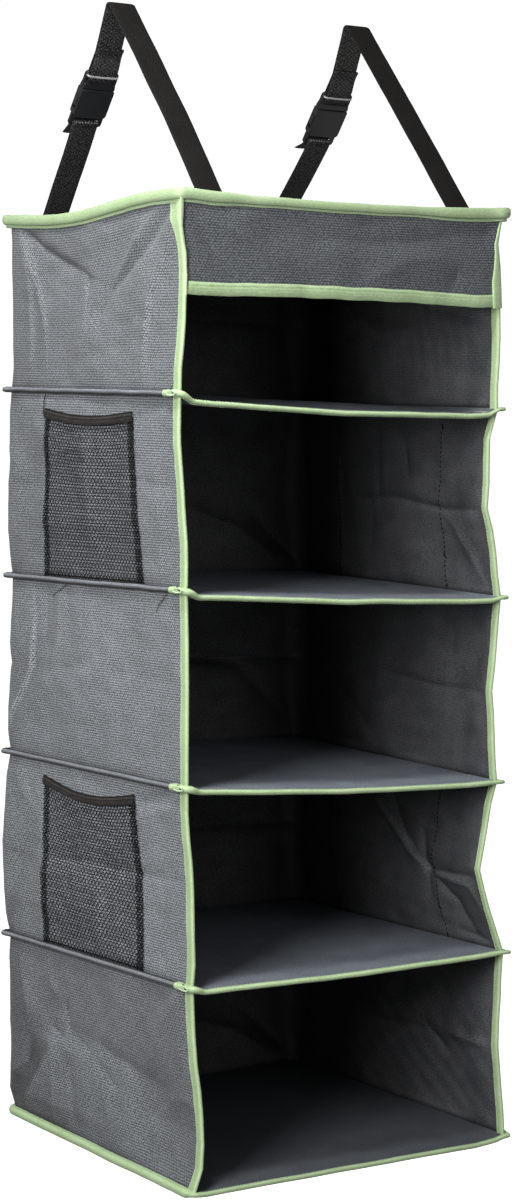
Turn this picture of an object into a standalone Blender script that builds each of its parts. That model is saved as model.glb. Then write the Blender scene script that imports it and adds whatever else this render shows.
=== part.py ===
"""Hanging organizer: five open compartments of cloth and stiffened shelves, hung from two buckled straps.

Metres, +Z up, the open front faces -Y. The origin is the middle of the bar or hook line that the
two strap loops hang from: the centre of the bend at the top of both straps.
"""

import math

import bmesh
import bpy
from mathutils import Matrix, Vector

# Body
BODY_WIDTH = 0.315
BODY_DEPTH = 0.315
COMPARTMENTS = 5
COMPARTMENT_HEIGHT = 0.160
FOLDED_PITCH = 0.018

# Cloth, boards and tapes
CLEARANCE = 0.0003
SHELF_CLOTH = 0.0006
BOARD_THICKNESS = 0.0020
SEAM_RIM = 0.003
SEAM_RIM_DROP = 0.0003
WALL_CLOTH = 0.0010
HEADER_CLOTH = 0.0008
TAPE_THICKNESS = 0.0006
EDGE_TAPE_LEG = 0.012
HEADER_TAPE_LEG = 0.008
HEADER_HEIGHT = 0.085
HEADER_BINDING_HEIGHT = 0.0105
TAPE_JOIN = 0.0005

# Bindings and piping that stand proud of the walls
TOP_BINDING_HEIGHT = 0.012
TOP_BINDING_LIP = 0.004
TOP_BINDING_LIP_THICKNESS = 0.0012
TOP_BINDING_REACH = 0.0052
SHELF_BINDING_REACH = 0.0048
SHELF_BINDING_WRAP = 0.028
PIPING_REACH = 0.0045
BINDING_NOSE = 0.0012
PANEL_BACK_CORNER = 0.008
FRONT_CORNER = 0.0005

# Soft shape of the walls: how far each is drawn in at half height
WALL_CORNER_MIDDLE = 0.030
LEFT_TUCKS = (0.0, 0.008, 0.010, 0.010, 0.012)
RIGHT_TUCKS = (0.0, 0.017, 0.016, 0.029, 0.014)
BACK_BOW = 0.005
TUCK_LEFT_AT_BACK = 0.35
FOLD_SHARPNESS = 1.4

# Net pockets on the outside of the side walls
POCKET_COMPARTMENTS = (2, 4)
POCKET_WIDTH = 0.160
POCKET_FROM_FRONT = 0.090
POCKET_DROP = 0.020
POCKET_NET = 0.0012
POCKET_STAND_OFF = 0.0009
POCKET_HEM_HEIGHT = 0.008
POCKET_HEM_THICKNESS = 0.0016
NET_COLUMNS = 8
NET_ROWS = 6
NET_STRAND = 0.0045
NET_BORDER = 0.006

# Straps
STRAP_FROM_SIDE = 0.0355
STRAP_RISE = 0.172
STRAP_BEND_RADIUS = 0.004
WEBBING_WIDTH = 0.025
WEBBING_THICKNESS = 0.0012
FOOT_LENGTH = 0.0065
FOOT_SETBACK = 0.0008
FOOT_BEND = 0.003
TAIL_FROM_APEX = 0.052
LOWER_TAIL = 0.030
REAR_STRAIGHT = 0.009

# Buckles, measured along the strap from the mouth of the socket half
MOUTH_FROM_APEX = 0.084
SOCKET_LENGTH = 0.038
SOCKET_BODY = 0.028
SOCKET_HALF_WIDTH = 0.016
SOCKET_HALF_THICKNESS = 0.0045
SOCKET_SIDE_WALL = 0.002
SOCKET_FACE_WALL = 0.0016
SOCKET_CAVITY_DEPTH = 0.025
WINDOW_TOP = 0.0074
WINDOW_LENGTH = 0.0136
BAR_HALF_THICKNESS = 0.0015
BAR_DEPTH = 0.0025
BAR_WRAP_PLAY = 0.0005
BAR_WRAP_SEAT = 0.0007
WRAP_FULLNESS = 0.999
LOOP_SLOT = 0.004
SLOT_SIDE_CLEARANCE = 0.0008
PLUG_FRAME_LENGTH = 0.017
PLUG_BASE_DEPTH = 0.006
PLUG_BASE_HALF_THICKNESS = 0.0035
PLUG_LOWER_SLOT = 0.0035
PLUG_UPPER_SLOT = 0.0025
TONGUE_HALF_WIDTH = 0.004
TONGUE_LENGTH = 0.022
ARM_PIVOT_HALF_SPACING = 0.010
ARM_ROOT_GAP = 0.0004
ARM_BEAM = 0.003
ARM_SIDE_PLAY = 0.0004
ARM_PAD_PROUD = 0.0008
ARM_LENGTH = 0.021
ARM_EDGE = 0.0004
ARM_PRESS_DEGREES = 10
BAR_EDGE = 0.0003
BUCKLE_EDGE = 0.0008
SOCKET_CORNER = 0.004
LADDER_CORNER = 0.003
MOUTH_CORNER = 0.001
CUT_PAST = 0.002

# Derived sizes
HALF_WIDTH = BODY_WIDTH / 2
HALF_DEPTH = BODY_DEPTH / 2
STRAP_SPACING = BODY_WIDTH - 2 * STRAP_FROM_SIDE
WEBBING_LINE_RADIUS = STRAP_BEND_RADIUS + WEBBING_THICKNESS / 2
TOP_Z = STRAP_BEND_RADIUS + WEBBING_THICKNESS - STRAP_RISE
SLEEVE_HALF = BOARD_THICKNESS / 2 + CLEARANCE + SHELF_CLOTH
BINDING_HALF = SLEEVE_HALF + CLEARANCE + TAPE_THICKNESS
WALL_SEAM_GAP = BINDING_HALF + CLEARANCE
BAR_WRAP_RADIUS = BAR_HALF_THICKNESS + BAR_WRAP_PLAY + WEBBING_THICKNESS / 2

ROW_SHARES = (0.0, 0.14, 0.32, 0.5, 0.68, 0.86, 1.0)
SIDE_STEPS = 5
CORNER_STEPS = 3
BACK_STEPS = 4

GREEN = ("green_tape", (0.42, 0.63, 0.33), 0.75)
OUTER_GREY = ("grey_cloth", (0.17, 0.18, 0.19), 0.85)
HEADER_GREY = ("header_cloth", (0.08, 0.09, 0.11), 0.85)
SHELF_SLATE = ("shelf_cloth", (0.03, 0.035, 0.04), 0.85)
PIPING_GREY = ("piping_tape", (0.10, 0.105, 0.11), 0.8)
NET_BLACK = ("pocket_net", (0.02, 0.018, 0.017), 0.9)
HEM_BROWN = ("pocket_hem", (0.045, 0.038, 0.034), 0.85)
WEBBING_BLACK = ("black_webbing", (0.015, 0.014, 0.013), 0.7)
BUCKLE_BLACK = ("buckle_plastic", (0.012, 0.012, 0.013), 0.45)
BOARD_GREY = ("stiffener_board", (0.35, 0.33, 0.30), 0.6)


# Scene and objects
def clear_scene():
    for obj in list(bpy.data.objects):
        bpy.data.objects.remove(obj)


def material(look):
    name, color, roughness = look
    found = bpy.data.materials.get(name)
    if found:
        return found
    made = bpy.data.materials.new(name)
    made.use_nodes = True
    shader = made.node_tree.nodes["Principled BSDF"]
    shader.inputs["Base Color"].default_value = (*color, 1.0)
    shader.inputs["Roughness"].default_value = roughness
    shader.inputs["Metallic"].default_value = 0.0
    return made


def add_empty(name, location, parent=None, rotation=None):
    empty = bpy.data.objects.new(name, None)
    empty.empty_display_size = 0.02
    empty.parent = parent
    empty.location = location
    if rotation:
        empty.rotation_euler = rotation.to_euler()
    bpy.context.scene.collection.objects.link(empty)
    return empty


def add_piece(name, bm, look, parent=None, location=(0, 0, 0)):
    """One sub-part: its faces turned outwards, its own object, its place given by its parent."""
    bmesh.ops.recalc_face_normals(bm, faces=bm.faces)
    mesh = bpy.data.meshes.new(name)
    bm.to_mesh(mesh)
    bm.free()
    mesh.shade_smooth()
    mesh.set_sharp_from_angle(angle=math.radians(35))
    mesh.materials.append(material(look))
    obj = bpy.data.objects.new(name, mesh)
    obj.parent = parent
    obj.location = location
    bpy.context.scene.collection.objects.link(obj)
    return obj


# Solids
def loft(rings, closed=False):
    """A solid through rings of points: with end caps, or joined up into a loop."""
    bm = bmesh.new()
    rows = [[bm.verts.new(point) for point in ring] for ring in rings]
    count = len(rows[0])
    steps = len(rows) if closed else len(rows) - 1
    for i in range(steps):
        this, following = rows[i], rows[(i + 1) % len(rows)]
        for j in range(count):
            k = (j + 1) % count
            bm.faces.new((this[j], this[k], following[k], following[j]))
    if not closed:
        bm.faces.new(rows[0])
        bm.faces.new(rows[-1])
    return bm


def prism(outline, low, high):
    """An outline in the XY plane, raised from low to high."""
    return loft([[Vector((x, y, z)) for x, y in outline] for z in (low, high)])


def shell(outer, inner, open_cells=()):
    """A sheet with thickness: two grids of points, the edges between them, and any open cells."""
    bm = bmesh.new()
    near, far = ([[bm.verts.new(point) for point in row] for row in grid] for grid in (outer, inner))
    rows, columns = len(outer) - 1, len(outer[0]) - 1
    kept = {(i, j) for i in range(rows) for j in range(columns)} - set(open_cells)
    for i, j in sorted(kept):
        for grid in (near, far):
            bm.faces.new((grid[i][j], grid[i][j + 1], grid[i + 1][j + 1], grid[i + 1][j]))
        rims = (
            ((i - 1, j), (i, j), (i, j + 1)),
            ((i + 1, j), (i + 1, j), (i + 1, j + 1)),
            ((i, j - 1), (i, j), (i + 1, j)),
            ((i, j + 1), (i, j + 1), (i + 1, j + 1)),
        )
        for neighbour, (a, b), (c, d) in rims:
            if neighbour not in kept:
                bm.faces.new((near[a][b], near[c][d], far[c][d], far[a][b]))
    unused = [vert for vert in bm.verts if not vert.link_faces]
    bmesh.ops.delete(bm, geom=unused, context="VERTS")
    return bm


def rounded_outline(corners, radii, steps=4):
    """A polygon with each corner rounded by its own radius."""
    points = []
    count = len(corners)
    for i, radius in enumerate(radii):
        corner = Vector(corners[i])
        back = (Vector(corners[i - 1]) - corner).normalized()
        ahead = (Vector(corners[(i + 1) % count]) - corner).normalized()
        if radius <= 0:
            points.append(corner)
            continue
        half = back.angle(ahead) / 2
        middle = corner + (back + ahead).normalized() * radius / math.sin(half)
        reach = radius / math.tan(half)
        start, end = corner + back * reach - middle, corner + ahead * reach - middle
        points += [middle + start.slerp(end, k / steps) * radius for k in range(steps + 1)]
    return points


def filleted_path(corners, radii, steps=6):
    """An open path whose inner corners are rounded."""
    return rounded_outline(corners, (0, *radii, 0), steps)


def offset_directions(path, closed):
    """For each point of a flat path that runs clockwise, its outward direction with the mitre's length."""
    count = len(path)
    directions = []
    for i in range(count):
        before = path[i] - path[i - 1] if closed or i else None
        after = path[(i + 1) % count] - path[i] if closed or i < count - 1 else None
        normals = [Vector((-run.y, run.x)).normalized() for run in (before, after) if run]
        average = sum(normals, Vector((0, 0))).normalized()
        directions.append(average / average.dot(normals[0]))
    return directions


def sweep(path, profile, closed=False):
    """A profile of (outward, up) points carried round a flat path."""
    rings = []
    for point, direction in zip(path, offset_directions(path, closed)):
        places = [point + direction * out for out, _ in profile]
        rings.append([Vector((p.x, p.y, up)) for p, (_, up) in zip(places, profile)])
    return loft(rings, closed)


def ribbon(path, half_width, thickness):
    """Webbing: a flat band across X that follows a path of (y, z) points."""
    rings = []
    for i, point in enumerate(path):
        before = (point - path[i - 1]).normalized() if i else None
        after = (path[i + 1] - point).normalized() if i < len(path) - 1 else None
        runs = [run for run in (before, after) if run]
        along = sum(runs, Vector((0, 0))).normalized()
        across = Vector((-along.y, along.x)) * thickness / 2 / along.dot(runs[0])
        a, b = point + across, point - across
        rings.append(
            [
                Vector((-half_width, a.x, a.y)),
                Vector((half_width, a.x, a.y)),
                Vector((half_width, b.x, b.y)),
                Vector((-half_width, b.x, b.y)),
            ]
        )
    return loft(rings)


def block(outline, half_thickness, edge):
    """A moulded plate: an outline in XY with softened rims, centred on z = 0."""
    bm = prism(outline, -half_thickness, half_thickness)
    rims = [e for e in bm.edges if abs(e.verts[0].co.z - e.verts[1].co.z) < 1e-7]
    bmesh.ops.bevel(bm, geom=rims, offset=edge, segments=2, profile=0.6, affect="EDGES")
    bmesh.ops.recalc_face_normals(bm, faces=bm.faces)
    return bm


def box(low, high):
    outline = ((low[0], low[1]), (high[0], low[1]), (high[0], high[1]), (low[0], high[1]))
    bm = prism([Vector(p) for p in outline], low[2], high[2])
    bmesh.ops.recalc_face_normals(bm, faces=bm.faces)
    return bm


def add_cutter(name, bm, target, operation="DIFFERENCE"):
    """A helper solid that is cut from, or joined to, a piece. It isn't part of the object."""
    bmesh.ops.recalc_face_normals(bm, faces=bm.faces)
    mesh = bpy.data.meshes.new(name)
    bm.to_mesh(mesh)
    bm.free()
    helper = bpy.data.objects.new(name, mesh)
    helper.parent = target.parent
    helper.location = target.location
    helper.hide_render = True
    helper.display_type = "WIRE"
    bpy.context.scene.collection.objects.link(helper)
    modifier = target.modifiers.new(name, "BOOLEAN")
    modifier.operation = operation
    modifier.solver = "EXACT"
    modifier.object = helper


def limit_slide(empty, travel):
    """A station rides straight up from where it hangs, and stops on the folded cloth."""
    limit = empty.constraints.new("LIMIT_LOCATION")
    limit.owner_space = "LOCAL"
    limit.use_min_z = limit.use_max_z = True
    limit.min_z = empty.location.z
    limit.max_z = empty.location.z + travel


def limit_press(arm, side):
    """A buckle arm bends inwards about its root by the angle that frees its pad."""
    limit = arm.constraints.new("LIMIT_ROTATION")
    limit.owner_space = "LOCAL"
    limit.use_limit_z = True
    angle = math.radians(ARM_PRESS_DEGREES)
    limit.min_z, limit.max_z = (-angle, 0) if side > 0 else (0, angle)


# Heights
def seam_z(level):
    """Middle height of the panel at a level: 0 is the top panel, and the last is the base."""
    if level == 0:
        return TOP_Z - TOP_BINDING_HEIGHT / 2
    if level == COMPARTMENTS:
        return TOP_Z - level * COMPARTMENT_HEIGHT + BINDING_HALF
    return TOP_Z - level * COMPARTMENT_HEIGHT


def lift_travel(level):
    """How far a panel can rise towards the one above before the folded cloth stops it."""
    return seam_z(level - 1) - seam_z(level) - FOLDED_PITCH


def compartment_span(number):
    """Lowest and highest z of a compartment's walls."""
    above = seam_z(number - 1) - (SLEEVE_HALF + CLEARANCE if number == 1 else WALL_SEAM_GAP)
    below = seam_z(number) + WALL_SEAM_GAP
    return below, above


# Panels
def panel_outline(inset=0.0, front_inset=None):
    """A panel from above, clockwise from its left front corner, with its back corners rounded."""
    front = inset if front_inset is None else front_inset
    left, right = -HALF_WIDTH + inset, HALF_WIDTH - inset
    near, far = -HALF_DEPTH + front, HALF_DEPTH - inset
    radius = max(PANEL_BACK_CORNER - inset, inset)
    corners = ((left, near), (left, far), (right, far), (right, near))
    return rounded_outline(corners, (0, radius, radius, 0))


def make_panel(label, station):
    """A cloth sleeve, open along its front edge and pinched at its seams, with its board inside."""
    inside = SHELF_CLOTH
    rim_height = SLEEVE_HALF - SEAM_RIM_DROP
    levels = ((SEAM_RIM, -SLEEVE_HALF), (0, -rim_height), (0, rim_height), (SEAM_RIM, SLEEVE_HALF))
    solid = loft([[Vector((x, y, z)) for x, y in panel_outline(inset)] for inset, z in levels])
    sleeve = add_piece(f"{label}_sleeve", solid, SHELF_SLATE, station)
    cavity_half = SLEEVE_HALF - SHELF_CLOTH
    cavity = prism(panel_outline(inside, -CUT_PAST), -cavity_half, cavity_half)
    add_cutter(f"{label}_sleeve_inside", cavity, sleeve)
    board = prism(panel_outline(inside + CLEARANCE), -BOARD_THICKNESS / 2, BOARD_THICKNESS / 2)
    add_piece(f"{label}_board", board, BOARD_GREY, station)


def round_profile(reach, half_height):
    """A folded tape that stands proud of the wall: flat behind, rounded in front."""
    nose = BINDING_NOSE
    return (
        (CLEARANCE, -half_height),
        (reach - nose, -half_height),
        (reach, -half_height + nose),
        (reach, half_height - nose),
        (reach - nose, half_height),
        (CLEARANCE, half_height),
    )


def panel_ring():
    """The panel's outline for a binding all round it."""
    corners = (
        (-HALF_WIDTH, -HALF_DEPTH),
        (-HALF_WIDTH, HALF_DEPTH),
        (HALF_WIDTH, HALF_DEPTH),
        (HALF_WIDTH, -HALF_DEPTH),
    )
    return rounded_outline(corners, (FRONT_CORNER, PANEL_BACK_CORNER, PANEL_BACK_CORNER, FRONT_CORNER))


def make_top_binding(station):
    """The rolled green edge of the top panel with its lower lip."""
    low, high = -TOP_BINDING_HEIGHT / 2, TOP_BINDING_HEIGHT / 2
    lip = low + TOP_BINDING_LIP
    roll = high - lip
    reach = TOP_BINDING_REACH
    profile = (
        (CLEARANCE, low),
        (CLEARANCE + TOP_BINDING_LIP_THICKNESS, low),
        (CLEARANCE + TOP_BINDING_LIP_THICKNESS, lip - BINDING_NOSE / 2),
        (reach - BINDING_NOSE, lip),
        (reach, lip + roll * 0.3),
        (reach, high - roll * 0.3),
        (reach - BINDING_NOSE, high - BINDING_NOSE / 2),
        (reach / 2, high),
        (CLEARANCE, high - BINDING_NOSE),
    )
    add_piece("top_binding", sweep(panel_ring(), profile, closed=True), GREEN, station)


def make_shelf_edges(label, station):
    """The green front binding, which turns both corners, and the grey piping round the rest."""
    turn = -HALF_DEPTH + SHELF_BINDING_WRAP
    front = rounded_outline(
        ((HALF_WIDTH, turn), (HALF_WIDTH, -HALF_DEPTH), (-HALF_WIDTH, -HALF_DEPTH), (-HALF_WIDTH, turn)),
        (0, FRONT_CORNER, FRONT_CORNER, 0),
    )
    profile = round_profile(SHELF_BINDING_REACH, BINDING_HALF)
    add_piece(f"{label}_front_binding", sweep(front, profile), GREEN, station)
    start = turn + CLEARANCE
    back = rounded_outline(
        ((-HALF_WIDTH, start), (-HALF_WIDTH, HALF_DEPTH), (HALF_WIDTH, HALF_DEPTH), (HALF_WIDTH, start)),
        (0, PANEL_BACK_CORNER, PANEL_BACK_CORNER, 0),
    )
    piping = sweep(back, round_profile(PIPING_REACH, BINDING_HALF))
    add_piece(f"{label}_piping", piping, PIPING_GREY, station)


# Walls
def fold_share(height):
    """How much of a wall's fold shows at a height: nothing at its seams and all at its middle.

    It runs straight between the rows of the wall's mesh, so that what lies on the wall follows it.
    """
    for low, high in zip(ROW_SHARES, ROW_SHARES[1:]):
        if height <= high:
            break
    part = (height - low) / (high - low)
    ends = [(1 - abs(2 * row - 1)) ** FOLD_SHARPNESS for row in (low, high)]
    return ends[0] * (1 - part) + ends[1] * part


def drawn_in(side, number, depth, height):
    """How far a side wall is drawn in: most at its front edge and half height, not at its seams."""
    tuck = (LEFT_TUCKS if side < 0 else RIGHT_TUCKS)[number - 1]
    straight = EDGE_TAPE_LEG + 2 * CLEARANCE
    share = min(max((depth - straight) / (BODY_DEPTH - WALL_CORNER_MIDDLE - straight), 0), 1)
    return tuck * fold_share(height) * (1 - (1 - TUCK_LEFT_AT_BACK) * share)


def wall_row(number, height, offset):
    """One level of a wall from above, from its left front edge round the back, offset outwards."""
    radius = PANEL_BACK_CORNER + (WALL_CORNER_MIDDLE - PANEL_BACK_CORNER) * math.sin(math.pi * height)
    straight = EDGE_TAPE_LEG + 2 * CLEARANCE
    last = BODY_DEPTH - radius
    depths = [0.0] + [straight + (last - straight) * i / SIDE_STEPS for i in range(SIDE_STEPS + 1)]
    rows = []
    for side in (-1, 1):
        run = []
        for depth in depths:
            x = side * (HALF_WIDTH + offset - drawn_in(side, number, depth, height))
            run.append(Vector((x, -HALF_DEPTH + depth)))
        at_corner = drawn_in(side, number, last, height)
        for i in range(1, CORNER_STEPS):
            angle = math.pi / 2 * i / CORNER_STEPS
            ease = math.cos(angle) ** 2
            reach = radius + offset
            x = HALF_WIDTH - radius + reach * math.cos(angle) - at_corner * ease
            run.append(Vector((side * x, HALF_DEPTH - radius + reach * math.sin(angle))))
        rows.append(run)
    bow = BACK_BOW * math.sin(math.pi * height)
    back = []
    for i in range(BACK_STEPS + 1):
        share = i / BACK_STEPS
        x = (-1 + 2 * share) * (HALF_WIDTH - radius)
        back.append(Vector((x, HALF_DEPTH + offset - bow * math.sin(math.pi * share))))
    return rows[0] + back + rows[1][::-1]


def wall_grid(number, offset):
    low, high = compartment_span(number)
    grid = []
    for height in ROW_SHARES:
        z = low + (high - low) * height
        grid.append([Vector((p.x, p.y, z)) for p in wall_row(number, height, offset)])
    return grid


def make_wall(number, parent):
    """One strip of cloth round the left side, the back and the right side of a compartment."""
    bm = shell(wall_grid(number, 0.0), wall_grid(number, -WALL_CLOTH))
    bm.transform(Matrix.Translation(-Vector((0, 0, parent.location.z))))
    add_piece(f"wall_{number}", bm, OUTER_GREY, parent)


def channel_ring(side, shift, z):
    """Section of the tape folded over a wall's front edge, at one height."""
    outer, inner = CLEARANCE, -WALL_CLOTH - CLEARANCE
    front = -CLEARANCE
    points = (
        (outer + TAPE_THICKNESS, EDGE_TAPE_LEG),
        (outer + TAPE_THICKNESS, front - TAPE_THICKNESS),
        (inner - TAPE_THICKNESS, front - TAPE_THICKNESS),
        (inner - TAPE_THICKNESS, EDGE_TAPE_LEG),
        (inner, EDGE_TAPE_LEG),
        (inner, front),
        (outer, front),
        (outer, EDGE_TAPE_LEG),
    )
    return [Vector((side * (HALF_WIDTH + out - shift), -HALF_DEPTH + depth, z)) for out, depth in points]


def header_ring(side, z):
    """Section of the tape where it turns over the header's side instead of the wall's inside."""
    outer = CLEARANCE
    front = -2 * CLEARANCE - HEADER_CLOTH
    points = (
        (outer + TAPE_THICKNESS, EDGE_TAPE_LEG),
        (outer + TAPE_THICKNESS, front - TAPE_THICKNESS),
        (-HEADER_TAPE_LEG, front - TAPE_THICKNESS),
        (-HEADER_TAPE_LEG, front),
        (outer, front),
        (outer, EDGE_TAPE_LEG),
    )
    return [Vector((side * (HALF_WIDTH + out), -HALF_DEPTH + depth, z)) for out, depth in points]


def make_edge_binding(number, side, parent):
    """Green tape along the left or right front edge of a compartment's wall."""
    low, high = compartment_span(number)
    name = f"wall_{number}_binding_{'left' if side < 0 else 'right'}"
    down = -parent.location.z
    top = TOP_Z - HEADER_HEIGHT if number == 1 else high
    rings = []
    for height in ROW_SHARES:
        z = low + (high - low) * height
        if z < top - TAPE_JOIN:
            rings.append(channel_ring(side, drawn_in(side, number, 0.0, height), z + down))
    shift = drawn_in(side, number, 0.0, (top - low) / (high - low))
    rings.append(channel_ring(side, shift, top + down))
    tape = add_piece(name, loft(rings), GREEN, parent)
    if number == 1:
        upper = TOP_Z - TOP_BINDING_HEIGHT - CLEARANCE
        over = loft([header_ring(side, z + down) for z in (top - TAPE_JOIN, upper)])
        add_cutter(f"{name}_over_header", over, tape, "UNION")


def make_header(parent):
    """The cloth panel across the top of the open front, with a binding along its lower edge."""
    back = -HALF_DEPTH - CLEARANCE
    front = back - HEADER_CLOTH
    low = TOP_Z - HEADER_HEIGHT + CLEARANCE + TAPE_THICKNESS
    high = TOP_Z - TOP_BINDING_HEIGHT - CLEARANCE
    down = -parent.location.z
    panel = box((-HALF_WIDTH, front, low + down), (HALF_WIDTH, back, high + down))
    add_piece("header_panel", panel, HEADER_GREY, parent)
    half = HALF_WIDTH - HEADER_TAPE_LEG - CLEARANCE
    bottom = TOP_Z - HEADER_HEIGHT
    top = bottom + HEADER_BINDING_HEIGHT
    outer, inner = front - CLEARANCE - TAPE_THICKNESS, back + CLEARANCE + TAPE_THICKNESS
    section = (
        (outer, top),
        (outer, bottom),
        (inner, bottom),
        (inner, top),
        (back + CLEARANCE, top),
        (back + CLEARANCE, bottom + TAPE_THICKNESS),
        (front - CLEARANCE, bottom + TAPE_THICKNESS),
        (front - CLEARANCE, top),
    )
    rings = [[Vector((x, y, z + down)) for y, z in section] for x in (-half, half)]
    add_piece("header_binding", loft(rings), GREEN, parent)


# Pockets
def side_point(side, number, depth, z, offset):
    """A point a little outside a side wall."""
    low, high = compartment_span(number)
    x = HALF_WIDTH + offset - drawn_in(side, number, depth, (z - low) / (high - low))
    return Vector((side * x, -HALF_DEPTH + depth, z))


def net_lines(start, length, gaps, border):
    """Where the strands of a net begin and end along one direction."""
    pitch = (length - 2 * border + NET_STRAND) / gaps
    lines = [start]
    for i in range(gaps):
        lines += [start + border + i * pitch, start + border + (i + 1) * pitch - NET_STRAND]
    return lines + [start + length]


def make_pocket(number, side, parent):
    """A net pocket, sewn to the wall at its sides and bottom, with an elastic hem along its mouth."""
    low, high = compartment_span(number)
    name = f"pocket_{number}_{'left' if side < 0 else 'right'}"
    depths = net_lines(POCKET_FROM_FRONT, POCKET_WIDTH, NET_COLUMNS, NET_BORDER)
    top = seam_z(number - 1) - POCKET_DROP
    net_top = top - POCKET_HEM_HEIGHT - CLEARANCE
    heights = net_lines(low, net_top - low, NET_ROWS, NET_BORDER)
    down = -parent.location.z
    grids = []
    for offset in (POCKET_STAND_OFF + POCKET_NET, POCKET_STAND_OFF):
        grid = [[side_point(side, number, depth, z, offset) for depth in depths] for z in heights]
        grids.append([[p + Vector((0, 0, down)) for p in row] for row in grid])
    gaps = [(2 * i + 1, 2 * j + 1) for i in range(NET_ROWS) for j in range(NET_COLUMNS)]
    add_piece(f"{name}_net", shell(grids[0], grids[1], gaps), NET_BLACK, parent)
    hem = []
    for offset in (POCKET_STAND_OFF + POCKET_HEM_THICKNESS, POCKET_STAND_OFF):
        grid = [
            [side_point(side, number, depth, z, offset) for depth in depths[::3] + depths[-1:]]
            for z in (top - POCKET_HEM_HEIGHT, top)
        ]
        hem.append([[p + Vector((0, 0, down)) for p in row] for row in grid])
    add_piece(f"{name}_hem", shell(hem[0], hem[1]), HEM_BROWN, parent)


# Straps
def foot_z():
    """Middle of the webbing where its sewn end lies on the top panel."""
    return seam_z(0) + SLEEVE_HALF + CLEARANCE + WEBBING_THICKNESS / 2


def foot_corner():
    """Where a strap leaves the panel, as distance from the middle and height."""
    return Vector((HALF_DEPTH - FOOT_LENGTH, foot_z()))


def apex_corner():
    """Where the two legs' middle lines would meet, so that both touch the bend at the top."""
    y, z = foot_corner()
    r2 = WEBBING_LINE_RADIUS**2
    a, b, c = y * y - r2, 2 * r2 * z, -r2 * (y * y + z * z)
    return Vector((0, (-b + math.sqrt(b * b - 4 * a * c)) / (2 * a)))


def leg_down():
    """Unit direction down the rear leg, as (y, z)."""
    return (foot_corner() - apex_corner()).normalized()


def buckle_middle(distance):
    """A point on the buckle's middle plane, a distance down the rear leg."""
    down = leg_down()
    outward = Vector((-down.y, down.x))
    return apex_corner() + down * distance - outward * BAR_WRAP_RADIUS


def make_long_webbing(label, parent):
    """From the front seam over the bar, down to the buckle, round its bar and back up as a short tail."""
    y, z = foot_corner()
    down = leg_down()
    outward = Vector((-down.y, down.x)) * BAR_WRAP_RADIUS
    bar = MOUTH_FROM_APEX - PLUG_BASE_DEPTH - PLUG_LOWER_SLOT
    turn = bar - BAR_WRAP_SEAT + BAR_WRAP_RADIUS
    corners = (
        (-HALF_DEPTH + FOOT_SETBACK, z),
        (-y, z),
        apex_corner(),
        buckle_middle(turn) + outward,
        buckle_middle(turn) - outward,
        buckle_middle(TAIL_FROM_APEX) - outward,
    )
    wrap = BAR_WRAP_RADIUS * WRAP_FULLNESS
    path = filleted_path(corners, (FOOT_BEND, WEBBING_LINE_RADIUS, wrap, wrap))
    bm = ribbon(path, WEBBING_WIDTH / 2, WEBBING_THICKNESS)
    add_piece(f"{label}_long_webbing", bm, WEBBING_BLACK, parent)


def make_rear_webbing(label, parent):
    """From the back seam up to the socket half, round its bar and back down as a loose end."""
    y, z = foot_corner()
    down = leg_down()
    outward = Vector((-down.y, down.x)) * BAR_WRAP_RADIUS
    bar = MOUTH_FROM_APEX + SOCKET_LENGTH - BAR_DEPTH
    turn = bar + BAR_WRAP_SEAT - BAR_WRAP_RADIUS
    corners = (
        (HALF_DEPTH - FOOT_SETBACK, z),
        (y, z),
        buckle_middle(turn + REAR_STRAIGHT) - outward,
        buckle_middle(turn) - outward,
        buckle_middle(turn) + outward,
        buckle_middle(MOUTH_FROM_APEX + SOCKET_LENGTH + LOWER_TAIL) + outward,
    )
    wrap = BAR_WRAP_RADIUS * WRAP_FULLNESS
    path = filleted_path(corners, (FOOT_BEND, REAR_STRAIGHT, wrap, wrap))
    bm = ribbon(path, WEBBING_WIDTH / 2, WEBBING_THICKNESS)
    add_piece(f"{label}_rear_webbing", bm, WEBBING_BLACK, parent)


def plate(low, high, half_low, half_high, radii):
    """A moulded plate's outline, symmetrical about the strap's line, from low to high along it."""
    corners = ((-half_low, low), (half_low, low), (half_high, high), (-half_high, high))
    return rounded_outline(corners, (radii[0], radii[0], radii[1], radii[1]))


def cut_webbing_slot(name, target, low, high):
    half = WEBBING_WIDTH / 2 + SLOT_SIDE_CLEARANCE
    reach = SOCKET_HALF_THICKNESS
    add_cutter(name, box((-half, low, -reach), (half, high, reach)), target)


def make_socket(label, frame):
    """The socket half: a flat shell with a mouth, a window in each side and a bar for the webbing."""
    w, t = SOCKET_HALF_WIDTH, SOCKET_HALF_THICKNESS
    body = block(plate(-SOCKET_BODY, 0, w, w, (SOCKET_CORNER, MOUTH_CORNER)), t, BUCKLE_EDGE)
    socket = add_piece(f"{label}_socket", body, BUCKLE_BLACK, frame)
    loop = plate(-SOCKET_LENGTH, -SOCKET_BODY + SOCKET_CORNER, w, w, (LADDER_CORNER, 0))
    add_cutter(f"{label}_socket_loop", block(loop, BAR_HALF_THICKNESS, BAR_EDGE), socket, "UNION")
    inner, face = w - SOCKET_SIDE_WALL, t - SOCKET_FACE_WALL
    cavity = box((-inner, -SOCKET_CAVITY_DEPTH, -face), (inner, CUT_PAST, face))
    add_cutter(f"{label}_socket_cavity", cavity, socket)
    side = w + CUT_PAST
    window = box((-side, -WINDOW_TOP - WINDOW_LENGTH, -face), (side, -WINDOW_TOP, face))
    add_cutter(f"{label}_socket_windows", window, socket)
    bar = -SOCKET_LENGTH + BAR_DEPTH
    cut_webbing_slot(f"{label}_socket_slot", socket, bar, bar + LOOP_SLOT)


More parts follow.
